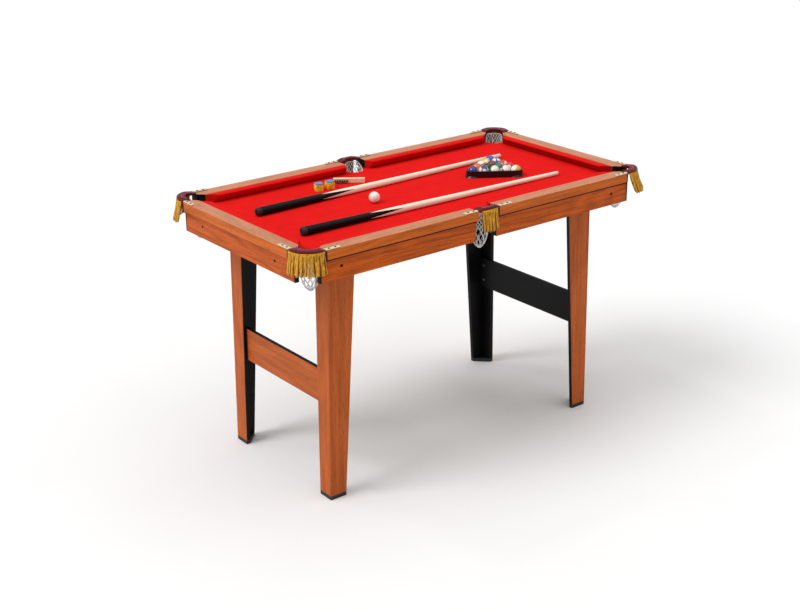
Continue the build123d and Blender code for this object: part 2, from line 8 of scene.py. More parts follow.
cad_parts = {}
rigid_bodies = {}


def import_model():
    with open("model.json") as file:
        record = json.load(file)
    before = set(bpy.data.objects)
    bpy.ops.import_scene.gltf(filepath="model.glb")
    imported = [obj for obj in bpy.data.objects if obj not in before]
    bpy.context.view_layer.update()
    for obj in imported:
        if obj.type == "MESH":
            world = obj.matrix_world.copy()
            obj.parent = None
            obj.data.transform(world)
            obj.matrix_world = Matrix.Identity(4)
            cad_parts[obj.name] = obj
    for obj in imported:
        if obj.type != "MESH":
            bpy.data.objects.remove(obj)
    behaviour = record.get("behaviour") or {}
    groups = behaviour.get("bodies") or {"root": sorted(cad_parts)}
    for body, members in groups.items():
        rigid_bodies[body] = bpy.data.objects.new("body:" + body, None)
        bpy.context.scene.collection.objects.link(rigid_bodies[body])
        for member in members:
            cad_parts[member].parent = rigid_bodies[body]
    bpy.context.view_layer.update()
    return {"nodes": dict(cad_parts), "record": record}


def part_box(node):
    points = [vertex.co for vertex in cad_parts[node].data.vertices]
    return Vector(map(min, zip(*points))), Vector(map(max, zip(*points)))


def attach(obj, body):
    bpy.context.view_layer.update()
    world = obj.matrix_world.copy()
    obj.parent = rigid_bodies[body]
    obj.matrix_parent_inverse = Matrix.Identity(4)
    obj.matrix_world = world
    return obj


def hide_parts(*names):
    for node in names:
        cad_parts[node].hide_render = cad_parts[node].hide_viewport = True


bl_info = {
    "name": "Mini Pool Table",
    "version": (1, 0, 0),
    "blender": (4, 5, 0),
    "location": "3D Viewport > Sidebar > Pool Table",
    "description": "Wood, cloth, leather, yarn and playing pieces for a small pool table",
    "category": "Add Mesh",
}

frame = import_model()
NODES = frame["nodes"]
MM = 0.001
ENDS = ("left", "right")
SIDES = ("near", "far")
QUARTERS = tuple(f"{side}_{end}" for side in SIDES for end in ENDS)
BALL_NODES = tuple(f"ball_{number:02d}" for number in range(1, 16))
RAIL_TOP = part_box("rail_left_end")[1].z
BED_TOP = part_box("bed_cloth")[1].z
HALF_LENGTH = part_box("rail_right_end")[1].x
END_BAND = 5.0 * MM
HALF_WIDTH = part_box("rail_far_right")[1].y


# Small helpers for colour and materials


def screen(red, green, blue):
    """A screen colour, 0 to 255 a channel, as the linear colour that a shader takes."""
    channels = []
    for value in (red / 255, green / 255, blue / 255):
        channels.append(value / 12.92 if value <= 0.04045 else ((value + 0.055) / 1.055) ** 2.4)
    return tuple(channels)


def rgba(colour):
    return (*tuple(colour)[:3], 1.0)


def shade(colour, factor):
    """A colour made darker or lighter."""
    return tuple(min(1.0, channel * factor) for channel in tuple(colour)[:3])


class Ink:
    """A socket in a material's nodes. Arithmetic on it adds the Math nodes."""

    def __init__(self, tree, socket=None):
        self.tree = tree
        self.socket = socket

    def node(self, kind, settings=None, inputs=None, output=0):
        """Any node: its settings are set first, then its sockets get values or links."""
        made = self.tree.nodes.new(kind)
        for name, value in (settings or {}).items():
            if name == "stops":
                self.fill_ramp(made.color_ramp, value)
            else:
                setattr(made, name, value)
        for name, value in (inputs or {}).items():
            if isinstance(value, Ink):
                self.tree.links.new(value.socket, made.inputs[name])
            else:
                made.inputs[name].default_value = value
        return Ink(self.tree, made.outputs[output])

    @staticmethod
    def fill_ramp(ramp, stops):
        while len(ramp.elements) < len(stops):
            ramp.elements.new(1.0)
        for element, (place, colour) in zip(ramp.elements, stops):
            element.position = place
            element.color = rgba(colour)

    def math(self, operation, *others):
        inputs = {0: self}
        for number, other in enumerate(others, start=1):
            inputs[number] = other
        return self.node("ShaderNodeMath", {"operation": operation}, inputs)

    def __add__(self, other):
        return self.math("ADD", other)

    __radd__ = __add__

    def __sub__(self, other):
        return self.math("SUBTRACT", other)

    def __rsub__(self, other):
        return self.node("ShaderNodeMath", {"operation": "SUBTRACT"}, {0: other, 1: self})

    def __mul__(self, other):
        return self.math("MULTIPLY", other)

    __rmul__ = __mul__

    def __truediv__(self, other):
        return self.math("DIVIDE", other)

    def step(self, low, high):
        """0 below low and 1 above high, with a smooth change between."""
        made = self.node("ShaderNodeMapRange", {"interpolation_type": "SMOOTHSTEP"}, {"Value": self})
        node = made.socket.node
        for name, value in (("From Min", low), ("From Max", high)):
            if isinstance(value, Ink):
                self.tree.links.new(value.socket, node.inputs[name])
            else:
                node.inputs[name].default_value = value
        return made

    def ramp(self, stops):
        return self.node("ShaderNodeValToRGB", {"stops": stops}, {"Fac": self})

    def axes(self):
        """The three numbers of a vector."""
        made = self.node("ShaderNodeSeparateXYZ", None, {"Vector": self}).socket.node
        return [Ink(self.tree, made.outputs[number]) for number in range(3)]

    def coords(self, scale=(1, 1, 1), location=(0, 0, 0), rotation=(0, 0, 0), undo=False):
        """Object coordinates, scaled, or with undo, brought back from a place and a turn."""
        raw = self.node("ShaderNodeTexCoord", None, None, 3)
        kind = {"vector_type": "TEXTURE" if undo else "POINT"}
        places = {"Vector": raw, "Location": location, "Rotation": rotation, "Scale": scale}
        return self.node("ShaderNodeMapping", kind, places)

    def noise(self, vector, scale, detail=2.0, roughness=0.5, distortion=0.0):
        values = {"Vector": vector, "Scale": scale, "Detail": detail}
        values.update({"Roughness": roughness, "Distortion": distortion})
        return self.node("ShaderNodeTexNoise", None, values)

    def facing(self):
        """The three numbers of the surface's own direction."""
        return self.node("ShaderNodeNewGeometry", None, None, 1).axes()

    def mix(self, factor, first, second):
        """A colour between two colours."""
        def colour(value):
            return value if isinstance(value, Ink) else rgba(value)

        inputs = {0: factor, 6: colour(first), 7: colour(second)}
        return self.node("ShaderNodeMix", {"data_type": "RGBA"}, inputs, 2)


def material(name, base, roughness=0.5, height=None, depth=0.1, reach=0.001, **constants):
    """A material. base, roughness and height may be functions of an Ink that draw a pattern."""
    made = bpy.data.materials.new(name)
    made.use_nodes = True
    tree = made.node_tree
    shader = tree.nodes["Principled BSDF"]
    start = Ink(tree)
    for socket, value in (("Base Color", base), ("Roughness", roughness)):
        drawn = value(start) if callable(value) else value
        if isinstance(drawn, Ink):
            tree.links.new(drawn.socket, shader.inputs[socket])
        elif socket == "Base Color":
            shader.inputs[socket].default_value = rgba(drawn)
        else:
            shader.inputs[socket].default_value = drawn
    if height:
        values = {"Strength": depth, "Distance": reach, "Height": height(start)}
        bump = start.node("ShaderNodeBump", None, values)
        tree.links.new(bump.socket, shader.inputs["Normal"])
    for socket, value in constants.items():
        shader.inputs[socket.replace("_", " ")].default_value = value
    return made


# Wood


def grain(ink, axis, lines=9.0):
    """Long soft streaks and curved growth lines along one axis, from 0 to 1."""
    long = [46.0, 46.0, 46.0]
    long[axis] = 1.6
    slow = [7.0, 7.0, 7.0]
    slow[axis] = 0.85
    fine = [430.0, 430.0, 430.0]
    fine[axis] = 7.0
    rings = (ink.noise(ink.coords(slow), 1.7, 2.0, 0.45, 0.35) * (lines * 6.28)).math("SINE")
    rings = rings * 0.5 + 0.5
    streaks = ink.noise(ink.coords(long), 2.4, 4.0, 0.6, 0.2).step(0.32, 0.68)
    fibres = ink.noise(ink.coords(fine), 1.0, 2.0, 0.6).step(0.3, 0.7)
    return rings * 0.26 + streaks * 0.4 + fibres * 0.34


def pores(ink, axis):
    """Short dark dashes along one axis."""
    small = [1300.0, 1300.0, 1300.0]
    small[axis] = 55.0
    return ink.noise(ink.coords(small), 1.0, 1.0).step(0.62, 0.74)


def veneer_colour(ink, axis, light, dark, pore, lines=9.0):
    stops = ((0.2, dark), (0.48, [(a + b) / 2 for a, b in zip(light, dark)]), (0.78, light))
    wood = grain(ink, axis, lines).ramp(stops)
    return ink.mix(pores(ink, axis) * 0.8, wood, pore)


def outward(ink, axis):
    """1 where a surface faces away from the table's middle along one axis."""
    place = ink.coords().axes()[axis].math("SIGN")
    return (ink.facing()[axis] * place).step(0.5, 0.7)


def paint_black(ink):
    speck = ink.noise(ink.coords(), 380.0, 3.0)
    return speck.ramp(((0.3, screen(8, 7, 8)), (0.75, screen(19, 17, 18))))


def wood_height(axis):
    return lambda ink: grain(ink, axis) - pores(ink, axis) * 0.5


def outer_end(ink, kind, axis):
    """1 on the last few millimetres of the boards, at the corner pockets."""
    node = f"{kind}_near_right" if axis == 0 else f"{kind}_right_end"
    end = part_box(node)[1][axis]
    return ink.coords().axes()[axis].math("ABSOLUTE").step(end - END_BAND, end - END_BAND + 0.6 * MM)


def rail_finish(name, axis, colours):
    """Veneer with a top painted paler and pinker as a sheen, and black paint on the cut ends at the pockets.
    """
    def base(ink):
        side = veneer_colour(ink, axis, colours.rail_side, shade(colours.rail_side, 0.62), colours.pore)
        top = veneer_colour(ink, axis, colours.rail_top, shade(colours.rail_top, 0.74), colours.pore)
        facing = ink.facing()
        # Upward faces take the paler top colour: the wood's colour with a painted sheen.
        wood = ink.mix(facing[2].step(0.55, 0.85), side, top)
        ends = facing[axis].math("ABSOLUTE").step(0.3, 0.45)
        fronts = facing[1 - axis].math("ABSOLUTE").step(0.6, 0.8)
        ends = ends.math("MAXIMUM", outer_end(ink, "rail", axis) * fronts)
        return ink.mix(ends, wood, paint_black(ink))

    return material(name, base, 0.42, wood_height(axis), 0.12, 0.0004, Specular_IOR_Level=0.16)


def apron_finish(name, axis, colours):
    """Veneer on the outer face, a paler edge band below, a painted shadow line under the rails and black
    paint behind.
    """
    other = 1 - axis

    def base(ink):
        dark = shade(colours.apron, 0.55)
        wood = veneer_colour(ink, axis, colours.apron, dark, colours.pore, 12.0)
        band = ink.mix(grain(ink, axis), shade(colours.rail_side, 0.8), colours.rail_side)
        wood = ink.mix((ink.facing()[2] * -1.0).step(0.5, 0.7), wood, band)
        shown = outward(ink, other).math("MAXIMUM", (ink.facing()[2] * -1.0).step(0.4, 0.6))
        # A black band at the top of the outer face is painted shadow under the rail, deeper on the long
        # sides; the black on the ends at the corner pockets is paint.
        drop = (9.0 if axis == 0 else 3.4) * MM
        painted_shadow_and_black_ends = ink.coords().axes()[2].step(BED_TOP - drop, BED_TOP - drop + 1.2 * MM)
        painted_shadow_and_black_ends = painted_shadow_and_black_ends.math("MAXIMUM", outer_end(ink, "apron", axis))
        return ink.mix(shown * (1.0 - painted_shadow_and_black_ends), paint_black(ink), wood)

    return material(name, base, 0.42, wood_height(axis), 0.12, 0.0004, Specular_IOR_Level=0.12)


def leg_finish(name, axis, faces, colours):
    """Veneer on the faces that point away from the table, black paint on all the others."""
    def base(ink):
        wood = veneer_colour(ink, axis, colours.leg, shade(colours.leg, 0.66), colours.pore, 7.0)
        shown = outward(ink, faces[0])
        for face in faces[1:]:
            shown = shown.math("MAXIMUM", outward(ink, face))
        return ink.mix(shown, paint_black(ink), wood)

    return material(name, base, 0.45, wood_height(axis), 0.12, 0.0004, Specular_IOR_Level=0.12)


def board_finish(name, light, dark):
    """Pressed board: fine chips of several browns."""
    def base(ink):
        chips = ink.node("ShaderNodeTexVoronoi", None, {"Vector": ink.coords(), "Scale": 420.0}, 1)
        tone = chips.axes()[0] * 0.6 + ink.noise(ink.coords(), 900.0) * 0.4
        return tone.ramp(((0.2, dark), (0.8, light)))

    return material(name, base, 0.85, lambda ink: ink.noise(ink.coords(), 700.0, 4.0), 0.3, 0.0006)


def painted_wood(name):
    def height(ink):
        return grain(ink, 1) * 0.5 + ink.noise(ink.coords(), 260.0) * 0.5

    return material(name, paint_black, 0.55, height, 0.15, 0.0005, Specular_IOR_Level=0.25)


# Cloth, leather, yarn and string


def felt(name, colour, side=None):
    """Napped cloth: a fine fuzz over a faint weave. side is a darker colour on upright faces, painted as
    shade.
    """
    def nap(ink):
        fuzz = ink.noise(ink.coords(), 1500.0, 3.0, 0.65)
        drift = ink.noise(ink.coords(), 22.0, 3.0)
        return fuzz * 0.6 + drift * 0.4

    def base(ink):
        stops = ((0.3, shade(colour, 0.84)), (0.52, colour), (0.72, shade(colour, 1.1)))
        lying = nap(ink).ramp(stops)
        if side is None:
            return lying
        # Upright faces take the darker side colour: painted shade.
        upright = nap(ink).ramp(((0.3, shade(side, 0.8)), (0.72, side)))
        return ink.mix(ink.facing()[2].step(0.25, 0.8), upright, lying)

    def height(ink):
        thread = ink.noise(ink.coords(), 2600.0, 2.0, 0.6)
        return thread * 0.6 + ink.noise(ink.coords(), 700.0, 3.0) * 0.4

    sheen = (1.0, 0.12, 0.1, 1.0)
    return material(name, base, 0.95, height, 0.35, 0.0006, Specular_IOR_Level=0.08, Sheen_Weight=0.05,
                    Sheen_Roughness=0.5, Sheen_Tint=sheen)


def leather(name, colour):
    """Glossy leather: pebbled, with fine creases."""
    def pebbles(ink):
        values = {"Vector": ink.coords(), "Scale": 520.0}
        cells = ink.node("ShaderNodeTexVoronoi", {"feature": "DISTANCE_TO_EDGE"}, values)
        return cells.step(0.0, 0.35)

    def base(ink):
        tone = ink.noise(ink.coords(), 90.0, 4.0, 0.6) * 0.6 + pebbles(ink) * 0.4
        return tone.ramp(((0.15, shade(colour, 0.35)), (0.5, colour), (0.85, shade(colour, 1.9))))

    def gloss(ink):
        return 0.2 + 0.2 * ink.noise(ink.coords(), 160.0, 2.0)

    def height(ink):
        return pebbles(ink) * 0.7 + ink.noise(ink.coords(), 240.0, 3.0) * 0.6

    return material(name, base, gloss, height, 0.6, 0.0010, Specular_IOR_Level=0.14, Coat_Weight=0.1,
                    Coat_Roughness=0.1)


def yarn(name, colour, dark, turns=520.0, light=None):
    """Twisted yarn: slanting plies, with painted shade in the grooves and painted highlights on ridges and
    random streaks.
    """
    # light is the colour of the painted highlights, and dark that of the painted shade in the grooves.
    light = light or shade(colour, 1.5)

    def plies(ink):
        along = ink.coords().axes()
        wave = ((along[2] * turns + (along[0] + along[1]) * turns * 1.3) * 6.28).math("SINE")
        return wave * 0.5 + 0.5

    def base(ink):
        tone = plies(ink) * 0.35 + ink.noise(ink.coords((1, 1, 0.2)), 330.0, 3.0) * 0.65
        return tone.ramp(((0.38, dark), (0.48, colour), (0.6, light)))

    return material(name, base, 0.55, plies, 0.5, 0.0006, Specular_IOR_Level=0.2)


# Metal and plastic


def metal(name, colour, roughness, wear=0.12):
    def base(ink):
        tone = ink.noise(ink.coords(), 260.0, 4.0, 0.6)
        return tone.ramp(((0.3, shade(colour, 1 - wear * 2)), (0.7, colour)))

    def gloss(ink):
        return roughness + wear * ink.noise(ink.coords((1, 6, 1)), 420.0, 3.0)

    def height(ink):
        return ink.noise(ink.coords(), 900.0, 2.0)

    return material(name, base, gloss, height, 0.05, 0.0002, Metallic=1.0)


def plastic(name, colour, roughness, texture=900.0, depth=0.08, **constants):
    def base(ink):
        return ink.noise(ink.coords(), 140.0, 3.0).ramp(((0.3, shade(colour, 0.86)), (0.7, colour)))

    def gloss(ink):
        return roughness + 0.08 * ink.noise(ink.coords(), 70.0, 3.0)

    def height(ink):
        return ink.noise(ink.coords(), texture, 3.0)

    return material(name, base, gloss, height, depth, 0.0002, **constants)


# Mesh helpers


def only(*pieces):
    """Select these objects and nothing else."""
    if bpy.context.object and bpy.context.object.mode != "OBJECT":
        bpy.ops.object.mode_set(mode="OBJECT")
    bpy.ops.object.select_all(action="DESELECT")
    for piece in pieces:
        piece.select_set(True)
    bpy.context.view_layer.objects.active = pieces[0]
    return pieces[0]


def edit(piece, *steps):
    """Run edit-mode steps on the whole of a mesh."""
    only(piece)
    bpy.ops.object.mode_set(mode="EDIT")
    bpy.ops.mesh.select_mode(type="VERT")
    bpy.ops.mesh.select_all(action="SELECT")
    for step in steps:
        step()
    bpy.ops.object.mode_set(mode="OBJECT")
    return piece


def modify(piece, kind, **settings):
    """Add a modifier and apply it."""
    only(piece)
    added = piece.modifiers.new(kind.title(), kind)
    for name, value in settings.items():
        setattr(added, name, value)
    bpy.ops.object.modifier_apply(modifier=added.name)
    return piece


def smooth(piece, angle=35.0):
    only(piece)
    bpy.ops.object.shade_smooth_by_angle(angle=math.radians(angle))
    return piece


def settle(piece):
    """Put a piece's place, turn and size into its mesh."""
    only(piece)
    bpy.ops.object.transform_apply(location=True, rotation=True, scale=True)
    return piece


def dress(piece, *materials):
    piece.data.materials.clear()
    for made in materials:
        piece.data.materials.append(made)
    return piece


def fit(piece, body, slot, *nodes):
    """A finished piece joins its body and stands for CAD nodes, which it hides. slot is not used."""
    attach(piece, body)
    if nodes:
        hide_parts(*nodes)
    return piece


def fit_group(piece, node, leads):
    """One of several pieces that share a CAD node of the table. The one that leads stands for it."""
    return fit(piece, "table", slot_of(node), *((node,) if leads else ()))


def fit_board(node, ending, finish, sizes):
    """A board with eased edges and its finish, in place of its CAD node."""
    piece = dress(eased(node, f"{node}_{ending}", sizes.board_round), finish)
    return fit(piece, body_of(node), slot_of(node), node)


def body_of(node):
    for body, members in frame["record"]["behaviour"]["bodies"].items():
        if node in members:
            return body
    raise RuntimeError(f"no body holds {node}")


def slot_of(node):
    for part in frame["record"]["subparts"]:
        if part["node"] == node:
            return part["material_slot"]
    raise RuntimeError(f"no slot for {node}")


def copy_of(node, name):
    """A copy of a CAD node with its loose triangles joined into flat faces."""
    piece = bpy.data.objects.new(name, NODES[node].data.copy())
    bpy.context.collection.objects.link(piece)
    return edit(
        piece,
        lambda: bpy.ops.mesh.remove_doubles(threshold=0.01 * MM),
        lambda: bpy.ops.mesh.dissolve_limited(angle_limit=math.radians(0.6)),
    )


def eased(node, name, radius, segments=2, angle=35.0):
    """A copy of a CAD node with its sharp edges rounded."""
    piece = copy_of(node, name)
    limit = {"limit_method": "ANGLE", "angle_limit": math.radians(angle)}
    modify(piece, "BEVEL", width=radius, segments=segments, **limit)
    smooth(piece, angle)
    return modify(piece, "WEIGHTED_NORMAL", keep_sharp=True)


def parts_of(piece):
    """Split a mesh into one object for each connected part."""
    only(piece)
    before = set(bpy.data.objects)
    bpy.ops.mesh.separate(type="LOOSE")
    return [piece] + [found for found in bpy.data.objects if found not in before]


def middle(piece):
    """The lowest and highest corner and the middle of a mesh that is in place."""
    places = [vertex.co for vertex in piece.data.vertices]
    low = Vector([min(place[axis] for place in places) for axis in range(3)])
    high = Vector([max(place[axis] for place in places) for axis in range(3)])
    return low, high, (low + high) / 2


def strings(name, runs, radius, made, kind="NURBS", sides=1):
    """Many thin round strings as one mesh. Each run is a list of points, and sides sets its roundness."""
    curve = bpy.data.curves.new(name, "CURVE")
    curve.dimensions = "3D"
    curve.bevel_depth = radius
    curve.bevel_resolution = sides
    curve.resolution_u = 2
    curve.use_fill_caps = True
    for run in runs:
        spline = curve.splines.new(kind)
        spline.points.add(len(run) - 1)
        for point, place in zip(spline.points, run):
            point.co = (*place, 1.0)
        if kind == "NURBS":
            spline.order_u = 3
            spline.use_endpoint_u = True
    piece = bpy.data.objects.new(name, curve)
    bpy.context.collection.objects.link(piece)
    only(piece)
    bpy.ops.object.convert(target="MESH")
    piece = bpy.context.object
    piece.name = name
    only(piece)
    bpy.ops.object.shade_smooth()
    return dress(piece, made)


def joined(name, pieces):
    only(*pieces)
    if len(pieces) > 1:
        bpy.ops.object.join()
    pieces[0].name = name
    pieces[0].data.name = name
    return pieces[0]


def turned(name, outline, made, sides=48):
    """A round piece about the X axis, from (distance, radius) points that start and end on the axis."""
    mesh = bpy.data.meshes.new(name)
    edges = [(number, number + 1) for number in range(len(outline) - 1)]
    mesh.from_pydata([(along, 0, radius) for along, radius in outline], edges, [])
    piece = bpy.data.objects.new(name, mesh)
    bpy.context.collection.objects.link(piece)

    def spin():
        bpy.ops.mesh.spin(steps=sides, angle=math.tau, center=(0, 0, 0), axis=(1, 0, 0))

    edit(
        piece,
        spin,
        lambda: bpy.ops.mesh.select_all(action="SELECT"),
        lambda: bpy.ops.mesh.remove_doubles(threshold=0.001 * MM),
        lambda: bpy.ops.mesh.normals_make_consistent(inside=False),
    )
    return smooth(dress(piece, made), 40.0)


def pockets():
    """Each pocket's name and centre, from the record's openings."""
    found = {}
    for opening in frame["record"]["physics"]["openings"]:
        if opening["name"].endswith("_pocket_mouth"):
            low, high = opening["box_m"]
            name = opening["name"].removesuffix("_pocket_mouth")
            found[name] = Vector([(a + b) / 2 for a, b in zip(low, high)])
    return found


def sign(value):
    return 1 if value >= 0 else -1


def at_corner(centre):
    """Whether a pocket is at a corner, and not in the middle of a long side."""
    return abs(centre.x) > 0.1


# Sizes and colours


def length_property(name, description, default):
    return bpy.props.FloatProperty(name=name, description=description, default=default, unit="LENGTH")


def colour_property(name, description, default):
    return bpy.props.FloatVectorProperty(
        name=name, description=description, default=screen(*default), subtype="COLOR", min=0.0, max=1.0
    )


class PoolTableSizes(bpy.types.PropertyGroup):
    board_round: length_property("Board edge", "Rounding of veneered board edges", 0.6 * MM)
    cloth_round: length_property("Cloth edge", "Roll of the cloth over the pocket cut-outs", 0.4 * MM)
    cushion_round: length_property("Cushion edge", "Rounding of the cushions under the cloth", 1.9 * MM)
    collar_round: length_property("Collar edge", "Rounding of the leather collars", 2.4 * MM)
    collar_arc: length_property("Collar arc", "Outer radius of a corner collar", 57.0 * MM)
    collar_centre: length_property("Collar centre", "From a table edge to the collar's centre", 54.5 * MM)
    fringe_out: length_property("Fringe offset", "From the collar's arc out to the yarns", 0.2 * MM)
    fringe_half: length_property("Side fringe", "Half the width of a side pocket's fringe", 28.0 * MM)
    fringe_flare: length_property("Fringe flare", "How far the yarns' ends hang outwards", 6.5 * MM)
    yarn_radius: length_property("Yarn radius", "Radius of one hanging yarn", 1.3 * MM)
    yarn_pitch: length_property("Yarn pitch", "Spacing of the hanging yarns", 2.7 * MM)
    string_radius: length_property("String radius", "Radius of the net's string", 0.85 * MM)
    net_radius: length_property("Net radius", "Radius of a net at its mouth", 26.4 * MM)
    net_meshes: bpy.props.IntProperty(
        name="Net strings", description="Long strings each way round a net", default=9
    )
    cue_splice: length_property("Cue splice", "Length of the black butt below the points", 217.0 * MM)
    cue_points: length_property("Cue points", "Length of the black points", 118.0 * MM)
    ferrule: length_property("Ferrule", "Length of a cue's ferrule", 22.0 * MM)


class PoolTableColours(bpy.types.PropertyGroup):
    cloth: colour_property("Cloth", "Bed and cushion cloth", (228, 22, 20))
    # The rail top colour is the wood's colour with a painted sheen, paler and pinker than the sides.
    rail_top: colour_property("Rail top", "Top of the rails", (216, 146, 108))
    rail_side: colour_property("Rail side", "Outer face of the rails", (212, 102, 20))
    apron: colour_property("Apron", "Outer face of the aprons", (206, 92, 16))
    leg: colour_property("Leg", "Outer faces of legs and stretchers", (198, 98, 40))
    pore: colour_property("Pores", "Pores in the wood", (86, 34, 10))
    leather: colour_property("Leather", "Pocket collars", (106, 10, 24))
    plate: colour_property("Plates", "Collar plates", (255, 244, 206))
    fringe: colour_property("Fringe", "Hanging yarns", (252, 154, 22))
    fringe_dark: colour_property("Fringe shadow", "Grooves of the yarns", (84, 34, 2))
    string: colour_property("String", "Net string", (252, 250, 250))
    maple: colour_property("Maple", "Cue shafts", (255, 244, 220))
    chalk: colour_property("Chalk", "Cue chalk", (112, 150, 205))
    paper: colour_property("Chalk paper", "Paper round the chalk", (236, 214, 40))


# Operators


class POOLTABLE_OT_stage(bpy.types.Operator):
    """Set up the floor, the lights and the camera"""

    bl_idname = "pool_table.stage"
    bl_label = "Stage"
    bl_options = {"REGISTER", "UNDO"}

    camera_place = (-2.3868, -3.0058, 1.8928)
    camera_turn = (0.660, 0.375, -0.010)
    camera_lens = 62.24
    key_from = (-0.7, 0.15, 0.75)
    key_angle = math.radians(28)
    key_power = 1.42
    top_from = (0.05, -0.13, 1.0)
    top_angle = math.radians(70)
    top_power = 0.92
    spark_from = (-0.35, 0.62, 1.0)
    spark_angle = math.radians(4)
    spark_power = 0.12
    world_power = 0.46
    floor_size = 60
    floor_tones = (0.93, 0.95)

    def execute(self, context):
        self.floor()
        self.camera()
        self.light("key", self.key_from, self.key_angle, self.key_power)
        self.light("top", self.top_from, self.top_angle, self.top_power)
        self.light("spark", self.spark_from, self.spark_angle, self.spark_power)
        world = bpy.data.worlds.new("studio")
        world.use_nodes = True
        world.node_tree.nodes["Background"].inputs["Color"].default_value = (1, 1, 1, 1)
        world.node_tree.nodes["Background"].inputs["Strength"].default_value = self.world_power
        bpy.context.scene.world = world
        bpy.context.scene.view_settings.view_transform = "Standard"
        return {"FINISHED"}

    def floor(self):
        bpy.ops.object.select_all(action="DESELECT")
        bpy.ops.mesh.primitive_plane_add(size=self.floor_size)
        floor = bpy.context.object
        floor.name = "floor"

        def base(ink):
            darker, lighter = self.floor_tones
            return ink.noise(ink.coords(), 2.0).ramp(((0.3, (darker,) * 3), (0.7, (lighter,) * 3)))

        dress(floor, material("floor_paint", base, 0.8))

    def camera(self):
        yaw, pitch, roll = self.camera_turn
        forward = Vector((math.sin(yaw) * math.cos(pitch), math.cos(yaw) * math.cos(pitch), -math.sin(pitch)))
        level = Vector((math.cos(yaw), -math.sin(yaw), 0))
        raised = level.cross(forward)
        right = math.cos(roll) * level + math.sin(roll) * raised
        up = math.cos(roll) * raised - math.sin(roll) * level
        data = bpy.data.cameras.new("camera")
        data.lens = self.camera_lens
        camera = bpy.data.objects.new("camera", data)
        bpy.context.collection.objects.link(camera)
        turn = Matrix((right, up, -forward)).transposed().to_4x4()
        camera.matrix_world = Matrix.Translation(self.camera_place) @ turn
        bpy.context.scene.camera = camera

    def light(self, name, source, angle, power):
        """A wide, far, soft light that shines from one direction."""
        data = bpy.data.lights.new(name, "SUN")
        data.angle = angle
        data.energy = power
        light = bpy.data.objects.new(name, data)
        bpy.context.collection.objects.link(light)
        light.rotation_euler = Vector(source).to_track_quat("Z", "Y").to_euler()


class POOLTABLE_OT_rails(bpy.types.Operator):
    """Veneer the rails and the aprons"""

    bl_idname = "pool_table.rails"
    bl_label = "Rails and aprons"
    bl_options = {"REGISTER", "UNDO"}

    def execute(self, context):
        sizes = context.scene.pool_table_sizes
        colours = context.scene.pool_table_colours
        finishes = {
            "rail_x": rail_finish("rail_veneer_along", 0, colours),
            "rail_y": rail_finish("rail_veneer_across", 1, colours),
            "apron_x": apron_finish("apron_veneer_along", 0, colours),
            "apron_y": apron_finish("apron_veneer_across", 1, colours),
        }
        for kind in ("rail", "apron"):
            for quarter in QUARTERS:
                fit_board(f"{kind}_{quarter}", "veneered", finishes[f"{kind}_x"], sizes)
            for end in ENDS:
                fit_board(f"{kind}_{end}_end", "veneered", finishes[f"{kind}_y"], sizes)
        return {"FINISHED"}


class POOLTABLE_OT_legs(bpy.types.Operator):
    """Veneer the legs and stretchers, and cap the feet"""

    bl_idname = "pool_table.legs"
    bl_label = "Legs"
    bl_options = {"REGISTER", "UNDO"}

    def execute(self, context):
        sizes = context.scene.pool_table_sizes
        colours = context.scene.pool_table_colours
        upright = leg_finish("leg_veneer", 2, (0, 1), colours)
        level = leg_finish("stretcher_veneer", 1, (0,), colours)
        for quarter in QUARTERS:
            fit_board(f"leg_{quarter}", "finished", upright, sizes)
        for end in ENDS:
            fit_board(f"stretcher_{end}", "finished", level, sizes)
        foot = plastic("foot_plastic", screen(24, 23, 24), 0.5, 1200.0, 0.2)
        fit_board("leg_feet", "finished", foot, sizes)
        return {"FINISHED"}


class POOLTABLE_OT_underframe(bpy.types.Operator):
    """Finish the hidden boards and their fasteners"""

    bl_idname = "pool_table.underframe"
    bl_label = "Under-frame"
    bl_options = {"REGISTER", "UNDO"}

    def execute(self, context):
        pressed = board_finish("pressed_board", screen(184, 146, 104), screen(112, 80, 52))
        black = painted_wood("batten_paint")
        zinc = metal("zinc", (0.55, 0.56, 0.58), 0.32)
        dark = metal("black_oxide", (0.012, 0.01, 0.01), 0.5)
        dress(NODES["bed_board"], pressed)
        for node in ("cross_batten_left", "cross_batten_right", "end_blocks"):
            dress(NODES[node], black)
        dress(NODES["frame_fasteners"], zinc)
        dress(NODES["apron_screws"], dark)
        return {"FINISHED"}


class POOLTABLE_OT_cloth(bpy.types.Operator):
    """Lay the cloth on the bed and cover the cushions"""

    bl_idname = "pool_table.cloth"
    bl_label = "Cloth and cushions"
    bl_options = {"REGISTER", "UNDO"}

    # The cushions' upright faces are painted darker as shade, by these factors of the cloth colour, the end
    # cushions darker still.
    long_side_tone = 0.8
    end_side_tone = 0.48
    nose_angle = 20.0

    def execute(self, context):
        sizes = context.scene.pool_table_sizes
        colours = context.scene.pool_table_colours
        bed_felt = felt("bed_felt", colours.cloth)
        long_felt = felt("long_cushion_felt", colours.cloth, shade(colours.cloth, self.long_side_tone))
        end_felt = felt("end_cushion_felt", colours.cloth, shade(colours.cloth, self.end_side_tone))
        bed = dress(eased("bed_cloth", "bed_felt_sheet", sizes.cloth_round), bed_felt)
        fit(bed, "table", slot_of("bed_cloth"), "bed_cloth")
        names = [f"cushion_{quarter}" for quarter in QUARTERS] + [f"cushion_{end}_end" for end in ENDS]
        for node in names:
            cover = end_felt if node.endswith("_end") else long_felt
            shape = eased(node, f"{node}_covered", sizes.cushion_round, 4, self.nose_angle)
            piece = dress(shape, cover)
            fit(piece, "table", slot_of(node), node)
        return {"FINISHED"}


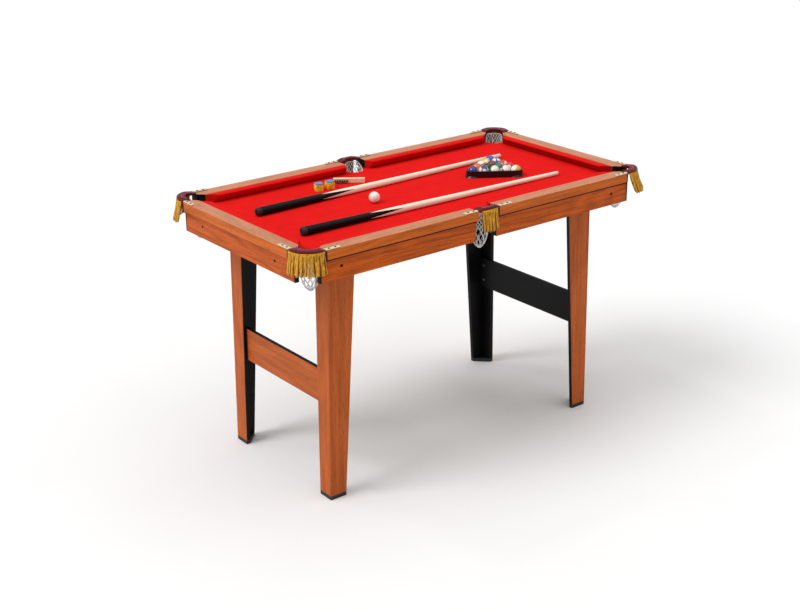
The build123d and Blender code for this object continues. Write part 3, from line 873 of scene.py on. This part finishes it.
class POOLTABLE_OT_collars(bpy.types.Operator):
    """Make the leather pocket collars with their stitching"""

    bl_idname = "pool_table.collars"
    bl_label = "Pocket collars"
    bl_options = {"REGISTER", "UNDO"}

    stitch_length = 3.4 * MM
    stitch_radius = 0.45 * MM
    stitch_pitch = math.radians(10.0)
    stitch_slant = 0.05
    stitch_drop = 1.1 * MM
    stitch_spread = {True: math.radians(70), False: math.radians(44)}
    lace_spread = {True: math.radians(62), False: math.radians(34)}
    lace_turns = {True: 16, False: 10}
    mouth_shift = 7.0 * MM
    seam_radius = 28.6 * MM
    lace_radii = (40.5 * MM, 34.5 * MM)
    strap_height = 1.6 * MM
    thread_lift = 0.1 * MM
    level_spread = 0.05 * MM
    ends_fall = 3.2 * MM
    fall_starts = 0.55
    side_reach = 37 * MM
    corner_reach = 68 * MM

    def execute(self, context):
        sizes = context.scene.pool_table_sizes
        colours = context.scene.pool_table_colours
        hide = leather("maroon_leather", colours.leather)
        thread = yarn("stitch_thread", screen(196, 120, 124), screen(120, 50, 56), 900.0)
        lace = yarn("pink_lace", screen(226, 150, 156), screen(150, 70, 80), 900.0)
        for number, part in enumerate(parts_of(self.plump(sizes))):
            name = self.pocket_at(middle(part)[2])
            part.name = f"{name}_collar"
            part.data.name = part.name
            fit_group(dress(part, hide), "pocket_collars", number == 0)
            thin = self.stitch_radius
            seam = strings(f"{name}_collar_stitches", self.stitches(name), thin, thread, "POLY")
            fit_group(seam, "pocket_collars", False)
            lacing = strings(f"{name}_collar_lacing", [self.lacing(name)], thin, lace, "POLY")
            fit_group(lacing, "pocket_collars", False)
        return {"FINISHED"}

    def plump(self, sizes):
        """The collars with their top and bottom edges rolled, and their strap ends left thin."""
        piece = copy_of("pocket_collars", "collar")
        low, high = middle(piece)[:2]
        mesh = piece.data
        only(piece)
        for part in (*mesh.vertices, *mesh.polygons, *mesh.edges):
            part.select = False
        for edge in mesh.edges:
            heights = [mesh.vertices[number].co.z for number in edge.vertices]
            for level in (low.z, high.z):
                if max(abs(height - level) for height in heights) < self.level_spread:
                    edge.select = True
        bpy.ops.object.mode_set(mode="EDIT")
        bpy.ops.mesh.select_mode(type="EDGE")
        bpy.ops.mesh.bevel(offset=sizes.collar_round, segments=5, affect="EDGES")
        bpy.ops.mesh.select_all(action="SELECT")
        bpy.ops.mesh.quads_convert_to_tris()
        bpy.ops.object.mode_set(mode="OBJECT")
        self.slope_ends(mesh)
        return smooth(piece, 40.0)

    def slope_ends(self, mesh):
        """Let the collars' tops fall towards the plates at both ends."""
        for vertex in mesh.vertices:
            place = vertex.co
            if place.z < RAIL_TOP + self.strap_height:
                continue
            centre = min(pockets().values(), key=lambda spot: (spot.xy - place.xy).length)
            if not at_corner(centre):
                off = abs(place.x - centre.x) / self.side_reach
            else:
                away = abs(HALF_LENGTH - abs(place.x)), abs(HALF_WIDTH - abs(place.y))
                off = max(away) / self.corner_reach
            fall = min(max((off - self.fall_starts) / (1 - self.fall_starts), 0.0), 1.0)
            vertex.co.z -= self.ends_fall * fall * fall * (3 - 2 * fall)

    def mouth(self, name):
        """The middle of the arc that a collar's inner edge follows, and the heading away from the table."""
        centre = pockets()[name]
        if not at_corner(centre):
            return centre, math.atan2(sign(centre.y), 0)
        outward = Vector((sign(centre.x), sign(centre.y)))
        return centre.xy + outward * self.mouth_shift, math.atan2(outward.y, outward.x)

    def lacing(self, name):
        """A lace that zigzags along the middle of the collar's top."""
        centre, heading = self.mouth(name)
        corner = at_corner(centre)
        spread = self.lace_spread[corner]
        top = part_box("pocket_collars")[1].z
        steps = self.lace_turns[corner]
        run = []
        for step in range(steps + 1):
            angle = heading + (2 * step / steps - 1) * spread
            run.append(self.at(centre, self.lace_radii[step % 2], angle, top + self.thread_lift))
        return run

    def pocket_at(self, place):
        found = pockets()
        return min(found, key=lambda name: (found[name].xy - place.xy).length)

    def stitches(self, name):
        """Short slanting stitches along the collar's inner edge."""
        centre, heading = self.mouth(name)
        spread = self.stitch_spread[at_corner(centre)]
        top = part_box("pocket_collars")[1].z
        steps = int(2 * spread / self.stitch_pitch)
        runs = []
        for step in range(steps + 1):
            angle = heading - spread + step * 2 * spread / steps
            start = self.at(centre, self.seam_radius, angle + self.stitch_slant, top - self.stitch_drop)
            outer = self.seam_radius + self.stitch_length
            end = self.at(centre, outer, angle - self.stitch_slant, top + self.thread_lift)
            runs.append([start, end])
        return runs

    def at(self, centre, radius, angle, height):
        return (centre.x + radius * math.cos(angle), centre.y + radius * math.sin(angle), height)


class POOLTABLE_OT_plates(bpy.types.Operator):
    """Fit the collar plates and their screws"""

    bl_idname = "pool_table.plates"
    bl_label = "Collar plates"
    bl_options = {"REGISTER", "UNDO"}

    screw_outline = (
        (0.15, 0.0), (0.1, 1.3), (-0.25, 2.5), (-0.8, 3.1), (-1.2, 3.2),
        (-1.2, 1.5), (-10.0, 1.5), (-13.0, 0.0),
    )
    recess_bars = ((3.6, 0.8, 1.0), (0.8, 3.6, 1.0))

    def execute(self, context):
        colours = context.scene.pool_table_colours
        shine = {"Metallic": 0.35, "Specular_IOR_Level": 0.8}
        gilt = plastic("gilt_plate", colours.plate, 0.26, 500.0, 0.05, **shine)
        bronze = metal("dark_bronze", screen(40, 28, 18), 0.5)
        plates = dress(eased("collar_plates", "collar_plates_eased", 0.35 * MM), gilt)
        fit(plates, "table", slot_of("collar_plates"), "collar_plates")
        pattern = self.screw()
        screws = []
        for part in parts_of(copy_of("plate_screws", "screw_places")):
            _, high, centre = middle(part)
            screw = pattern.copy()
            screw.data = pattern.data.copy()
            bpy.context.collection.objects.link(screw)
            screw.location = (centre.x, centre.y, high.z)
            screw.rotation_euler = (0, 0, (centre.x * 71 + centre.y * 37) % math.tau)
            screws.append(settle(screw))
            bpy.data.objects.remove(part)
        bpy.data.objects.remove(pattern)
        heads = dress(joined("plate_screws_slotted", screws), bronze)
        fit(heads, "table", slot_of("plate_screws"), "plate_screws")
        return {"FINISHED"}

    def screw(self):
        """A domed screw with a cross recess, its head's top at the origin."""
        outline = [(along * MM, radius * MM) for along, radius in self.screw_outline]
        head = turned("screw", outline, None, 20)
        head.rotation_euler = (0, -math.pi / 2, 0)
        settle(head)
        bars = []
        for size in self.recess_bars:
            bpy.ops.object.select_all(action="DESELECT")
            bpy.ops.mesh.primitive_cube_add(size=1, location=(0, 0, 0.05 * MM))
            bar = bpy.context.object
            bar.scale = [side * MM for side in size]
            bars.append(settle(bar))
        for bar in bars:
            modify(head, "BOOLEAN", operation="DIFFERENCE", object=bar, solver="EXACT")
            bpy.data.objects.remove(bar)
        return head


class POOLTABLE_OT_fringes(bpy.types.Operator):
    """Hang the yarn fringes from the collars"""

    bl_idname = "pool_table.fringes"
    bl_label = "Fringes"
    bl_options = {"REGISTER", "UNDO"}

    band_drop = 3.2 * MM
    rise = 3.4 * MM
    glint = screen(255, 202, 74)
    leans = {"far_left": 13.0 * MM, "near_right": 19.0 * MM}
    droop = 1.3
    clump_pull = 0.52
    yarn_steps = 8
    side_inset = 3.2 * MM
    side_bulge = 2.0 * MM
    front_depth = 0.4 * MM
    lining_depth = -1.8 * MM
    cord_radius = 1.05 * MM
    cord_pitch = 1.9 * MM
    corner_sweep = math.radians(54)
    clump = (3, 5)

    def execute(self, context):
        sizes = context.scene.pool_table_sizes
        colours = context.scene.pool_table_colours
        gold = yarn("gold_yarn", colours.fringe, colours.fringe_dark, light=self.glint)
        braid = yarn("gold_braid", shade(colours.fringe, 1.3), colours.fringe_dark, 240.0)
        # The yarns behind are much darker than the front ones: painted shadow between the front yarns.
        shaded_lining = yarn("shaded_yarn", shade(colours.fringe, 0.3), shade(colours.fringe_dark, 0.4))
        for number, (name, centre) in enumerate(pockets().items()):
            random.seed(100 + number)
            self.flare = 0.0 if name in self.leans else sizes.fringe_flare
            self.lean = Vector((sign(centre.x), sign(centre.y))).normalized() * self.leans.get(name, 0.0)
            path = self.path(centre, sizes)
            front = self.yarns(path, self.front_depth, 1.0, sizes)
            hanging = strings(f"{name}_fringe_yarns", front, sizes.yarn_radius, gold)
            fit_group(hanging, "pocket_fringes", number == 0)
            behind = self.yarns(path, self.lining_depth, 0.0, sizes)
            inner = strings(f"{name}_fringe_lining", behind, sizes.yarn_radius * 1.05, shaded_lining)
            fit_group(inner, "pocket_fringes", False)
            fit_group(self.band(f"{name}_fringe_band", path, braid), "pocket_fringes", False)
        return {"FINISHED"}

    def path(self, centre, sizes):
        """A function of 0 to 1 that gives a place on the fringe's line and its outward direction."""
        if at_corner(centre):
            around = Vector((
                sign(centre.x) * (HALF_LENGTH - sizes.collar_centre),
                sign(centre.y) * (HALF_WIDTH - sizes.collar_centre),
            ))
            radius = sizes.collar_arc + sizes.fringe_out
            heading = math.atan2(sign(centre.y), sign(centre.x))
            self.length = 2 * self.corner_sweep * radius

            def at(share):
                angle = heading + (2 * share - 1) * self.corner_sweep
                out = Vector((math.cos(angle), math.sin(angle)))
                return around + out * radius, out

            return at
        self.length = 2 * sizes.fringe_half
        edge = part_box("pocket_fringes")[1].y - self.side_inset

        def along(share):
            off = 2 * share - 1
            bulge = self.side_bulge * (1 - off * off)
            place = Vector((off * sizes.fringe_half, sign(centre.y) * (edge + bulge)))
            return place, Vector((0, sign(centre.y)))

        return along

    def yarns(self, path, depth, looseness, sizes):
        """One layer of yarns. Neighbours lean together into clumps of a few."""
        low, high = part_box("pocket_fringes")
        top = high.z + self.rise - self.band_drop
        count = int(self.length / sizes.yarn_pitch)
        runs = []
        while len(runs) < count:
            size = min(random.randint(*self.clump), count - len(runs))
            lean = random.uniform(-0.5, 0.5) * sizes.yarn_pitch
            for member in range(size):
                share = (len(runs) + 0.5) / count
                pull = ((size - 1) / 2 - member) * sizes.yarn_pitch * self.clump_pull + lean
                runs.append(self.yarn(path, share, depth, pull * looseness, top, top - low.z))
        return runs

    def yarn(self, path, share, depth, pull, top, drop):
        """One yarn, with a little wave, that is pulled sideways and outwards towards its end."""
        place, out = path(share)
        beside = Vector((-out.y, out.x))
        wave = random.uniform(0.15, 0.5) * MM
        phase = random.uniform(0, math.tau)
        turns = random.uniform(0.8, 1.8)
        length = drop * random.uniform(0.83, 0.96)
        stray = pull + random.uniform(-0.3, 0.3) * MM
        points = []
        for step in range(self.yarn_steps + 1):
            part = step / self.yarn_steps
            side = stray * math.sin(part * math.pi / 2) + wave * math.sin(phase + turns * math.tau * part)
            push = depth + self.flare * part ** self.droop
            push += wave * 0.6 * math.cos(phase + turns * math.tau * part) * part
            spot = place + out * push + beside * side + self.lean * part ** self.droop
            points.append((spot.x, spot.y, top - length * part))
        return points

    def band(self, name, path, made):
        """The braided heading: three cords side by side along the top."""
        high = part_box("pocket_fringes")[1].z
        runs = []
        for row in range(3):
            height = high + self.rise - 1.0 * MM - row * self.cord_pitch
            run = []
            for step in range(25):
                place, out = path(step / 24)
                spot = place + out * (0.2 * MM + 0.25 * MM * math.sin(step * 2.4 + row))
                run.append((spot.x, spot.y, height + 0.25 * MM * math.cos(step * 2.1 + row * 2)))
            runs.append(run)
        return strings(name, runs, self.cord_radius, made, sides=2)


class POOLTABLE_OT_nets(bpy.types.Operator):
    """Tie the string nets under the pockets"""

    bl_idname = "pool_table.nets"
    bl_label = "Pocket nets"
    bl_options = {"REGISTER", "UNDO"}

    profile = ((1.0, 0.0), (0.99, 0.31), (0.93, 0.54), (0.79, 0.74), (0.5, 0.91), (0.15, 1.0))
    twist = math.radians(140)
    levels = 18
    knot_radius = 1.15 * MM
    tie_height = 3.6 * MM
    tie_size = 3.0
    rim_below_bed = 6 * MM
    rim_into_collar = 4 * MM
    low_rim_share = 0.25

    def execute(self, context):
        sizes = context.scene.pool_table_sizes
        colours = context.scene.pool_table_colours
        cotton = yarn("net_string", colours.string, screen(150, 148, 146), 700.0)
        low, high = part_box("pocket_nets")
        knot = self.knot(cotton)
        for number, (name, centre) in enumerate(pockets().items()):
            runs = self.net_strings(centre, low.z, high.z, sizes)
            net = strings(f"{name}_net", runs, sizes.string_radius, cotton)
            fit_group(net, "pocket_nets", number == 0)
            knots = joined(f"{name}_net_knots", self.knots(knot, centre, low.z, high.z, sizes))
            fit_group(knots, "pocket_nets", False)
        bpy.data.objects.remove(knot)
        return {"FINISHED"}

    def radius(self, part, sizes):
        """The net's radius at a share of the way down, from straight runs of its profile."""
        for (upper, start), (lower, end) in zip(self.profile, self.profile[1:]):
            if part <= end:
                share = (part - start) / (end - start)
                return sizes.net_radius * (upper + (lower - upper) * share)
        return sizes.net_radius * self.profile[-1][0]

    def spot(self, centre, angle, part, low, high, sizes):
        """A place on the net. Its rim hangs from the board, and in three pockets from the collar too."""
        radius = self.radius(part, sizes)
        heading = math.atan2(sign(centre.y), sign(centre.x) if at_corner(centre) else 0)
        outside = min(max(0.5 + 0.9 * math.cos(angle - heading), 0.0), 1.0)
        if at_corner(centre) and not (centre.x > 0 and centre.y > 0):
            outside *= self.low_rim_share
        board_rim = BED_TOP - self.rim_below_bed
        rim = board_rim + (high + self.rim_into_collar - board_rim) * outside
        height = rim - (rim - low - 2.0 * MM) * part
        return (centre.x + radius * math.cos(angle), centre.y + radius * math.sin(angle), height)

    def net_strings(self, centre, low, high, sizes):
        runs = []
        for way in (-1, 1):
            for number in range(2 * sizes.net_meshes):
                start = number * math.pi / sizes.net_meshes
                reach = self.levels // 2 if number % 2 else self.levels
                run = []
                for step in range(reach + 1):
                    part = step / self.levels
                    run.append(self.spot(centre, start + way * self.twist * part, part, low, high, sizes))
                runs.append(run)
        rim = []
        for step in range(33):
            rim.append(self.spot(centre, step * math.tau / 32, 0.0, low, high, sizes))
        return runs + [rim]

    def knot(self, made):
        """A small round knot, flattened and turned."""
        bpy.ops.object.select_all(action="DESELECT")
        bpy.ops.mesh.primitive_ico_sphere_add(subdivisions=1, radius=self.knot_radius)
        knot = bpy.context.object
        knot.scale = (1.0, 1.25, 0.85)
        settle(knot)
        return dress(knot, made)

    def knots(self, pattern, centre, low, high, sizes):
        """A knot at each crossing of the strings, and a bigger one that closes the net."""
        made = []
        rows = round(2 * self.twist / (math.tau / sizes.net_meshes))
        for row in range(1, rows):
            part = row / rows
            for number in range(sizes.net_meshes):
                angle = (number + row / 2) * math.tau / sizes.net_meshes
                made.append(self.placed(pattern, self.spot(centre, angle, part, low, high, sizes), 1.0))
        made.append(self.placed(pattern, (centre.x, centre.y, low + self.tie_height), self.tie_size))
        return made

    def placed(self, pattern, place, size):
        knot = pattern.copy()
        knot.data = pattern.data.copy()
        bpy.context.collection.objects.link(knot)
        turn = Euler((place[0] * 900, place[1] * 700, place[2] * 800)).to_matrix().to_4x4()
        knot.data.transform(Matrix.Translation(place) @ turn @ Matrix.Scale(size, 4))
        return knot


class POOLTABLE_OT_cues(bpy.types.Operator):
    """Turn the two cues"""

    bl_idname = "pool_table.cues"
    bl_label = "Cues"
    bl_options = {"REGISTER", "UNDO"}

    bumper = 14.0 * MM
    tip = 4.0 * MM

    def execute(self, context):
        sizes = context.scene.pool_table_sizes
        colours = context.scene.pool_table_colours
        rubber = plastic("bumper_rubber", screen(22, 22, 22), 0.6, 700.0, 0.3)
        white = plastic("ferrule_plastic", screen(246, 240, 228), 0.3)
        pad = plastic("tip_leather", screen(214, 202, 184), 0.9, 500.0, 0.4)
        for node in ("cue_far", "cue_near"):
            butt, place, length, butt_radius, tip_radius = self.measure(node)
            wood = self.splice(f"{node}_lacquer", butt, place, sizes, colours)
            finishes = {"shaft": wood, "bumper": rubber, "ferrule": white, "tip": pad}
            self.cue(node, place, length, butt_radius, tip_radius, sizes, finishes)
        return {"FINISHED"}

    def measure(self, node):
        """A cue's axis and radii, read from its own ends."""
        places = [vertex.co for vertex in NODES[node].data.vertices]
        first = min(place.x for place in places)
        last = max(place.x for place in places)

        def slice_between(low, high):
            inside = [place for place in places if low <= place.x <= high]
            box_low = Vector([min(place[axis] for place in inside) for axis in range(3)])
            box_high = Vector([max(place[axis] for place in inside) for axis in range(3)])
            return (box_low + box_high) / 2, (box_high.z - box_low.z) / 2

        butt, butt_radius = slice_between(first, first + 8 * MM)
        tip, tip_radius = slice_between(last - 3 * MM, last)
        aim = (tip - butt).normalized()
        start = butt - aim * (butt.x - first)
        place = Matrix.Translation(start) @ aim.to_track_quat("X", "Z").to_matrix().to_4x4()
        return start, place, last - first, butt_radius, tip_radius

    def splice(self, name, butt, place, sizes, colours):
        """Pale wood with four black points growing from a black butt, under one lacquer."""
        turn = place.to_euler()

        def masks(ink):
            local = ink.coords(location=tuple(butt), rotation=tuple(turn), undo=True)
            along, across, up = local.axes()
            angle = up.math("ARCTAN2", across) / math.tau
            wave = ((angle * 4.0 + 0.30).math("FRACT") - 0.5).math("ABSOLUTE") * 2.0
            edge = wave * sizes.cue_points + sizes.cue_splice
            return (along - edge).step(-0.4 * MM, 0.4 * MM)

        def base(ink):
            local = ink.coords((3.0, 60.0, 60.0))
            fibres = ink.noise(local, 18.0, 3.0, 0.6)
            pale = fibres.ramp(((0.25, shade(colours.maple, 0.88)), (0.6, colours.maple)))
            stops = ((0.3, (0.002, 0.002, 0.003)), (0.8, (0.006, 0.005, 0.006)))
            dark = ink.noise(ink.coords(), 200.0).ramp(stops)
            return ink.mix(masks(ink), dark, pale)

        def height(ink):
            return ink.noise(ink.coords((6.0, 90.0, 90.0)), 20.0, 3.0)

        gloss = {"Specular_IOR_Level": 0.12, "Coat_Weight": 0.08, "Coat_Roughness": 0.05}
        return material(name, base, 0.16, height, 0.04, 0.0002, **gloss)

    def cue(self, node, place, length, butt, tip, sizes, finishes):
        collar = length - sizes.ferrule - self.tip
        pad = length - self.tip
        end = self.bumper
        groove = 0.5 * MM

        def radius(along):
            return butt + (tip - butt) * along / length

        profiles = {
            "bumper": [
                (0, 0), (0, butt * 0.62), (1.6 * MM, butt * 0.88), (4.5 * MM, butt), (end - groove, butt),
                (end, butt - groove), (end, 0),
            ],
            "shaft": [
                (end, 0), (end, butt - groove), (end + groove, radius(end)),
                (length * 0.4, radius(length * 0.4)), (length * 0.7, radius(length * 0.7)),
                (collar, radius(collar)), (collar, 0),
            ],
            "ferrule": [(collar, 0), (collar, tip * 1.02), (pad, tip), (pad, 0)],
            "tip": [
                (pad, 0), (pad, tip), (length - 1.4 * MM, tip), (length - 0.4 * MM, tip * 0.7), (length, 0),
            ],
        }
        for kind, outline in profiles.items():
            piece = turned(f"{node}_{kind}", outline, finishes[kind], 40)
            piece.data.transform(place)
            fit(piece, body_of(node), slot_of(node), *((node,) if kind == "shaft" else ()))


class POOLTABLE_OT_balls(bpy.types.Operator):
    """Cast the balls, with their stripes and numbers, and finish the rack"""

    bl_idname = "pool_table.balls"
    bl_label = "Balls and rack"
    bl_options = {"REGISTER", "UNDO"}

    hues = {
        1: (238, 186, 48), 2: (40, 84, 190), 3: (214, 44, 40), 4: (52, 34, 132), 5: (232, 112, 48),
        6: (20, 124, 78), 7: (124, 24, 40), 8: (18, 17, 20),
    }
    numbers = (2, 1, 10, 13, 7, 11, 5, 8, 6, 3, 4, 12, 14, 15, 9)
    ivory = (248, 242, 228)
    spot_share = 0.37
    stripe_share = 0.56
    digit_sizes = (0.62, 0.52)
    digit_lift = 0.06 * MM

    def execute(self, context):
        ink_black = plastic("number_ink", screen(20, 20, 22), 0.25)
        for index, (node, number) in enumerate(zip(BALL_NODES, self.numbers)):
            random.seed(40 + index)
            turn = Euler((random.uniform(-3.1, 3.1), random.uniform(-1.0, 0.4), random.uniform(-3.1, 3.1)))
            self.ball(node, number, turn, ink_black)
        self.ball("cue_ball", 0, Euler((0, 0, 0)), ink_black)
        black = (0.006, 0.006, 0.007)
        gloss = plastic("rack_plastic", black, 0.2, 200.0, 0.03, Specular_IOR_Level=0.35)
        rack = dress(eased("rack", "rack_moulded", 0.7 * MM, 3), gloss)
        fit(rack, body_of("rack"), slot_of("rack"), "rack")
        return {"FINISHED"}

    def ball(self, node, number, turn, ink_black):
        low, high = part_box(node)
        centre = (low + high) / 2
        radius = (high.z - low.z) / 2
        bpy.ops.object.select_all(action="DESELECT")
        bpy.ops.mesh.primitive_uv_sphere_add(segments=40, ring_count=20, radius=radius, location=centre)
        piece = settle(bpy.context.object)
        piece.name = f"{node}_cast"
        dress(piece, self.resin(f"{node}_resin", number, centre, radius, turn))
        smooth(piece, 60.0)
        fit(piece, body_of(node), slot_of(node), node)
        if number:
            for letter, side in (("a", 0.0), ("b", math.pi)):
                place = Matrix.Translation(centre) @ turn.to_matrix().to_4x4() @ Matrix.Rotation(side, 4, "Z")
                self.number(f"{node}_number_{letter}", number, radius, place, node, ink_black)

    def resin(self, name, number, centre, radius, turn):
        """Solid colour or a stripe on ivory, with a pale spot on two sides."""
        ivory = screen(*self.ivory)
        hue = screen(*self.hues[(number - 1) % 8 + 1]) if number else ivory

        def base(ink):
            place = {"location": tuple(centre), "rotation": tuple(turn)}
            _, across, up = ink.coords(**place, undo=True).axes()
            swirl = ink.noise(ink.coords(), 60.0, 3.0)
            pale = swirl.ramp(((0.3, shade(ivory, 0.93)), (0.7, ivory)))
            if not number:
                return pale
            coloured = swirl.ramp(((0.3, shade(hue, 0.8)), (0.7, hue)))
            if number > 8:
                band = (up.math("ABSOLUTE") / radius).step(self.stripe_share - 0.01, self.stripe_share + 0.01)
                coloured = ink.mix(band, coloured, pale)
            spot = (across * across + up * up).math("SQRT") / radius
            return ink.mix(spot.step(self.spot_share - 0.012, self.spot_share + 0.012), pale, coloured)

        return material(name, base, 0.12, lambda ink: ink.noise(ink.coords(), 300.0), 0.01, 0.0001,
                        Coat_Weight=0.8, Coat_Roughness=0.04)

    def number(self, name, number, radius, place, node, made):
        """A numeral that lies on the ball inside its spot."""
        bpy.ops.object.select_all(action="DESELECT")
        bpy.ops.object.text_add()
        piece = bpy.context.object
        piece.data.body = str(number)
        piece.data.size = radius * self.digit_sizes[number > 9]
        piece.data.align_x = "CENTER"
        piece.data.align_y = "CENTER"
        piece.data.resolution_u = 3
        only(piece)
        bpy.ops.object.convert(target="MESH")
        piece = bpy.context.object
        piece.name = name
        for vertex in piece.data.vertices:
            flat = Vector((vertex.co.x, vertex.co.y))
            lift = math.sqrt(max(radius * radius - flat.length_squared, 0.0)) + self.digit_lift
            vertex.co = Vector((lift, flat.x, flat.y))
        piece.data.transform(place)
        dress(piece, made)
        fit(piece, body_of(node), slot_of(node))


class POOLTABLE_OT_chalk(bpy.types.Operator):
    """Press the cubes of chalk and wrap them"""

    bl_idname = "pool_table.chalk"
    bl_label = "Chalk"
    bl_options = {"REGISTER", "UNDO"}

    wrap_share = 0.86
    paper_thick = 0.3 * MM

    def execute(self, context):
        colours = context.scene.pool_table_colours
        powder = plastic("blue_chalk", colours.chalk, 0.95, 800.0, 0.5)
        paper = self.paper(colours)
        for node in ("chalk_left", "chalk_right"):
            cube = dress(eased(node, f"{node}_pressed", 0.5 * MM), powder)
            fit(cube, body_of(node), slot_of(node), node)
            wrap = self.wrapper(node, paper)
            fit(wrap, body_of(node), slot_of(node))
        return {"FINISHED"}

    def paper(self, colours):
        """Yellow paper with a plain dark lattice and dots."""
        def base(ink):
            east, north, up = ink.coords().axes()
            wave = ((east - north) * 900.0).math("SINE") * ((up * 820.0).math("SINE"))
            dots = ink.node("ShaderNodeTexVoronoi", None, {"Vector": ink.coords(), "Scale": 210.0})
            mark = wave.step(0.15, 0.3) * (1.0 - dots.step(0.42, 0.5))
            return ink.mix(mark * 0.9, colours.paper, screen(62, 66, 26))

        def height(ink):
            return ink.noise(ink.coords(), 1200.0)

        return material("chalk_paper", base, 0.7, height, 0.1, 0.0002)

    def wrapper(self, node, paper):
        """The lower sides of the cube, lifted off as a thin sleeve."""
        low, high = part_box(node)
        wrap = copy_of(node, f"{node}_wrapper")
        cut = low.z + (high.z - low.z) * self.wrap_share

        def trim():
            bpy.ops.mesh.bisect(plane_co=(0, 0, cut), plane_no=(0, 0, 1), clear_outer=True)

        edit(wrap, trim)
        modify(wrap, "SOLIDIFY", thickness=self.paper_thick, offset=1.0, use_even_offset=True)
        return smooth(dress(wrap, paper), 40.0)


class POOLTABLE_OT_brush(bpy.types.Operator):
    """Make the table brush"""

    bl_idname = "pool_table.brush"
    bl_label = "Brush"
    bl_options = {"REGISTER", "UNDO"}

    tufts = 6
    hairs = 26
    hair_radius = 0.28 * MM
    tuft_radius = 2.5 * MM
    golden_angle = 2.4
    root = 0.5 * MM

    def execute(self, context):
        def base(ink):
            tone = ink.noise(ink.coords((1, 1, 4)), 160.0, 4.0, 0.6)
            return tone.ramp(((0.3, screen(214, 186, 146)), (0.7, screen(246, 226, 190))))

        def fibres(ink):
            return ink.noise(ink.coords(), 500.0, 4.0)

        raw = material("brush_beech", base, 0.6, fibres, 0.2, 0.0003)
        hair = plastic("black_hair", screen(20, 19, 20), 0.45)
        handle = dress(smooth(eased("brush_handle", "brush_handle_shaped", 0.3 * MM)), raw)
        fit(handle, "brush", slot_of("brush_handle"), "brush_handle")
        bristles = strings("brush_tufts", self.bristle_runs(), self.hair_radius, hair, "POLY", 0)
        fit(bristles, "brush", slot_of("brush_bristles"), "brush_bristles")
        return {"FINISHED"}

    def bristle_runs(self):
        """Tufts in a row, each a bunch of hairs that spreads towards its tips."""
        random.seed(9)
        along, out, corner, size = self.bristle_block()
        runs = []
        for tuft in range(self.tufts):
            for hair in range(self.hairs):
                angle = hair * self.golden_angle
                spread = math.sqrt((hair + 0.5) / self.hairs) * self.tuft_radius
                side = (tuft + 0.5) / self.tufts * size[0]
                start = corner + along * (side + spread * math.cos(angle))
                start += Vector((0, 0, size[2] / 2 + spread * 1.5 * math.sin(angle)))
                sideways, upwards = random.uniform(-0.6, 0.6), random.uniform(-0.5, 0.5)
                lean = (along * sideways + Vector((0, 0, upwards))) * MM
                end = start + out * size[1] * random.uniform(0.93, 1.0) + lean * 1.2
                bend = (start + end) / 2 + lean * 0.2
                runs.append([tuple(start - out * self.root), tuple(bend), tuple(end)])
        return runs

    def bristle_block(self):
        """The bristles' directions, corner and size, read from their CAD block."""
        places = [vertex.co for vertex in NODES["brush_bristles"].data.vertices]
        bottom = min(place.z for place in places)
        floor = [place for place in places if place.z < bottom + 0.1 * MM]
        west = min(floor, key=lambda place: place.x)
        east = max(floor, key=lambda place: place.x)
        south = min(floor, key=lambda place: place.y)
        north = max(floor, key=lambda place: place.y)
        short, long = sorted((north - west, south - west), key=lambda side: side.length)
        handle_low, handle_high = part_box("brush_handle")
        handle = (handle_low + handle_high) / 2
        block = (west + east) / 2
        corner = west.copy()
        out = short.normalized()
        if (handle - block).dot(out) > 0:
            corner = west + short
            out = -out
        height = max(place.z for place in places) - bottom
        return long.normalized(), out, corner, (long.length, short.length, height)


MAKERS = (
    POOLTABLE_OT_stage,
    POOLTABLE_OT_rails,
    POOLTABLE_OT_legs,
    POOLTABLE_OT_underframe,
    POOLTABLE_OT_cloth,
    POOLTABLE_OT_collars,
    POOLTABLE_OT_plates,
    POOLTABLE_OT_fringes,
    POOLTABLE_OT_nets,
    POOLTABLE_OT_cues,
    POOLTABLE_OT_balls,
    POOLTABLE_OT_chalk,
    POOLTABLE_OT_brush,
)


class POOLTABLE_PT_panel(bpy.types.Panel):
    """Lists the pieces of the pool table and its sizes and colours"""

    bl_label = "Pool Table"
    bl_idname = "POOLTABLE_PT_panel"
    bl_space_type = "VIEW_3D"
    bl_region_type = "UI"
    bl_category = "Pool Table"

    def draw(self, context):
        for group in (context.scene.pool_table_sizes, context.scene.pool_table_colours):
            box = self.layout.box()
            for name in group.__annotations__:
                box.prop(group, name)
        for maker in MAKERS:
            self.layout.operator(maker.bl_idname)


CLASSES = (PoolTableSizes, PoolTableColours, *MAKERS, POOLTABLE_PT_panel)


def register():
    for cls in CLASSES:
        bpy.utils.register_class(cls)
    bpy.types.Scene.pool_table_sizes = bpy.props.PointerProperty(type=PoolTableSizes)
    bpy.types.Scene.pool_table_colours = bpy.props.PointerProperty(type=PoolTableColours)


def unregister():
    del bpy.types.Scene.pool_table_colours
    del bpy.types.Scene.pool_table_sizes
    for cls in reversed(CLASSES):
        bpy.utils.unregister_class(cls)


def main():
    register()
    for maker in MAKERS:
        family, name = maker.bl_idname.split(".")
        getattr(getattr(bpy.ops, family), name)()


if __name__ == "__main__":
    main()
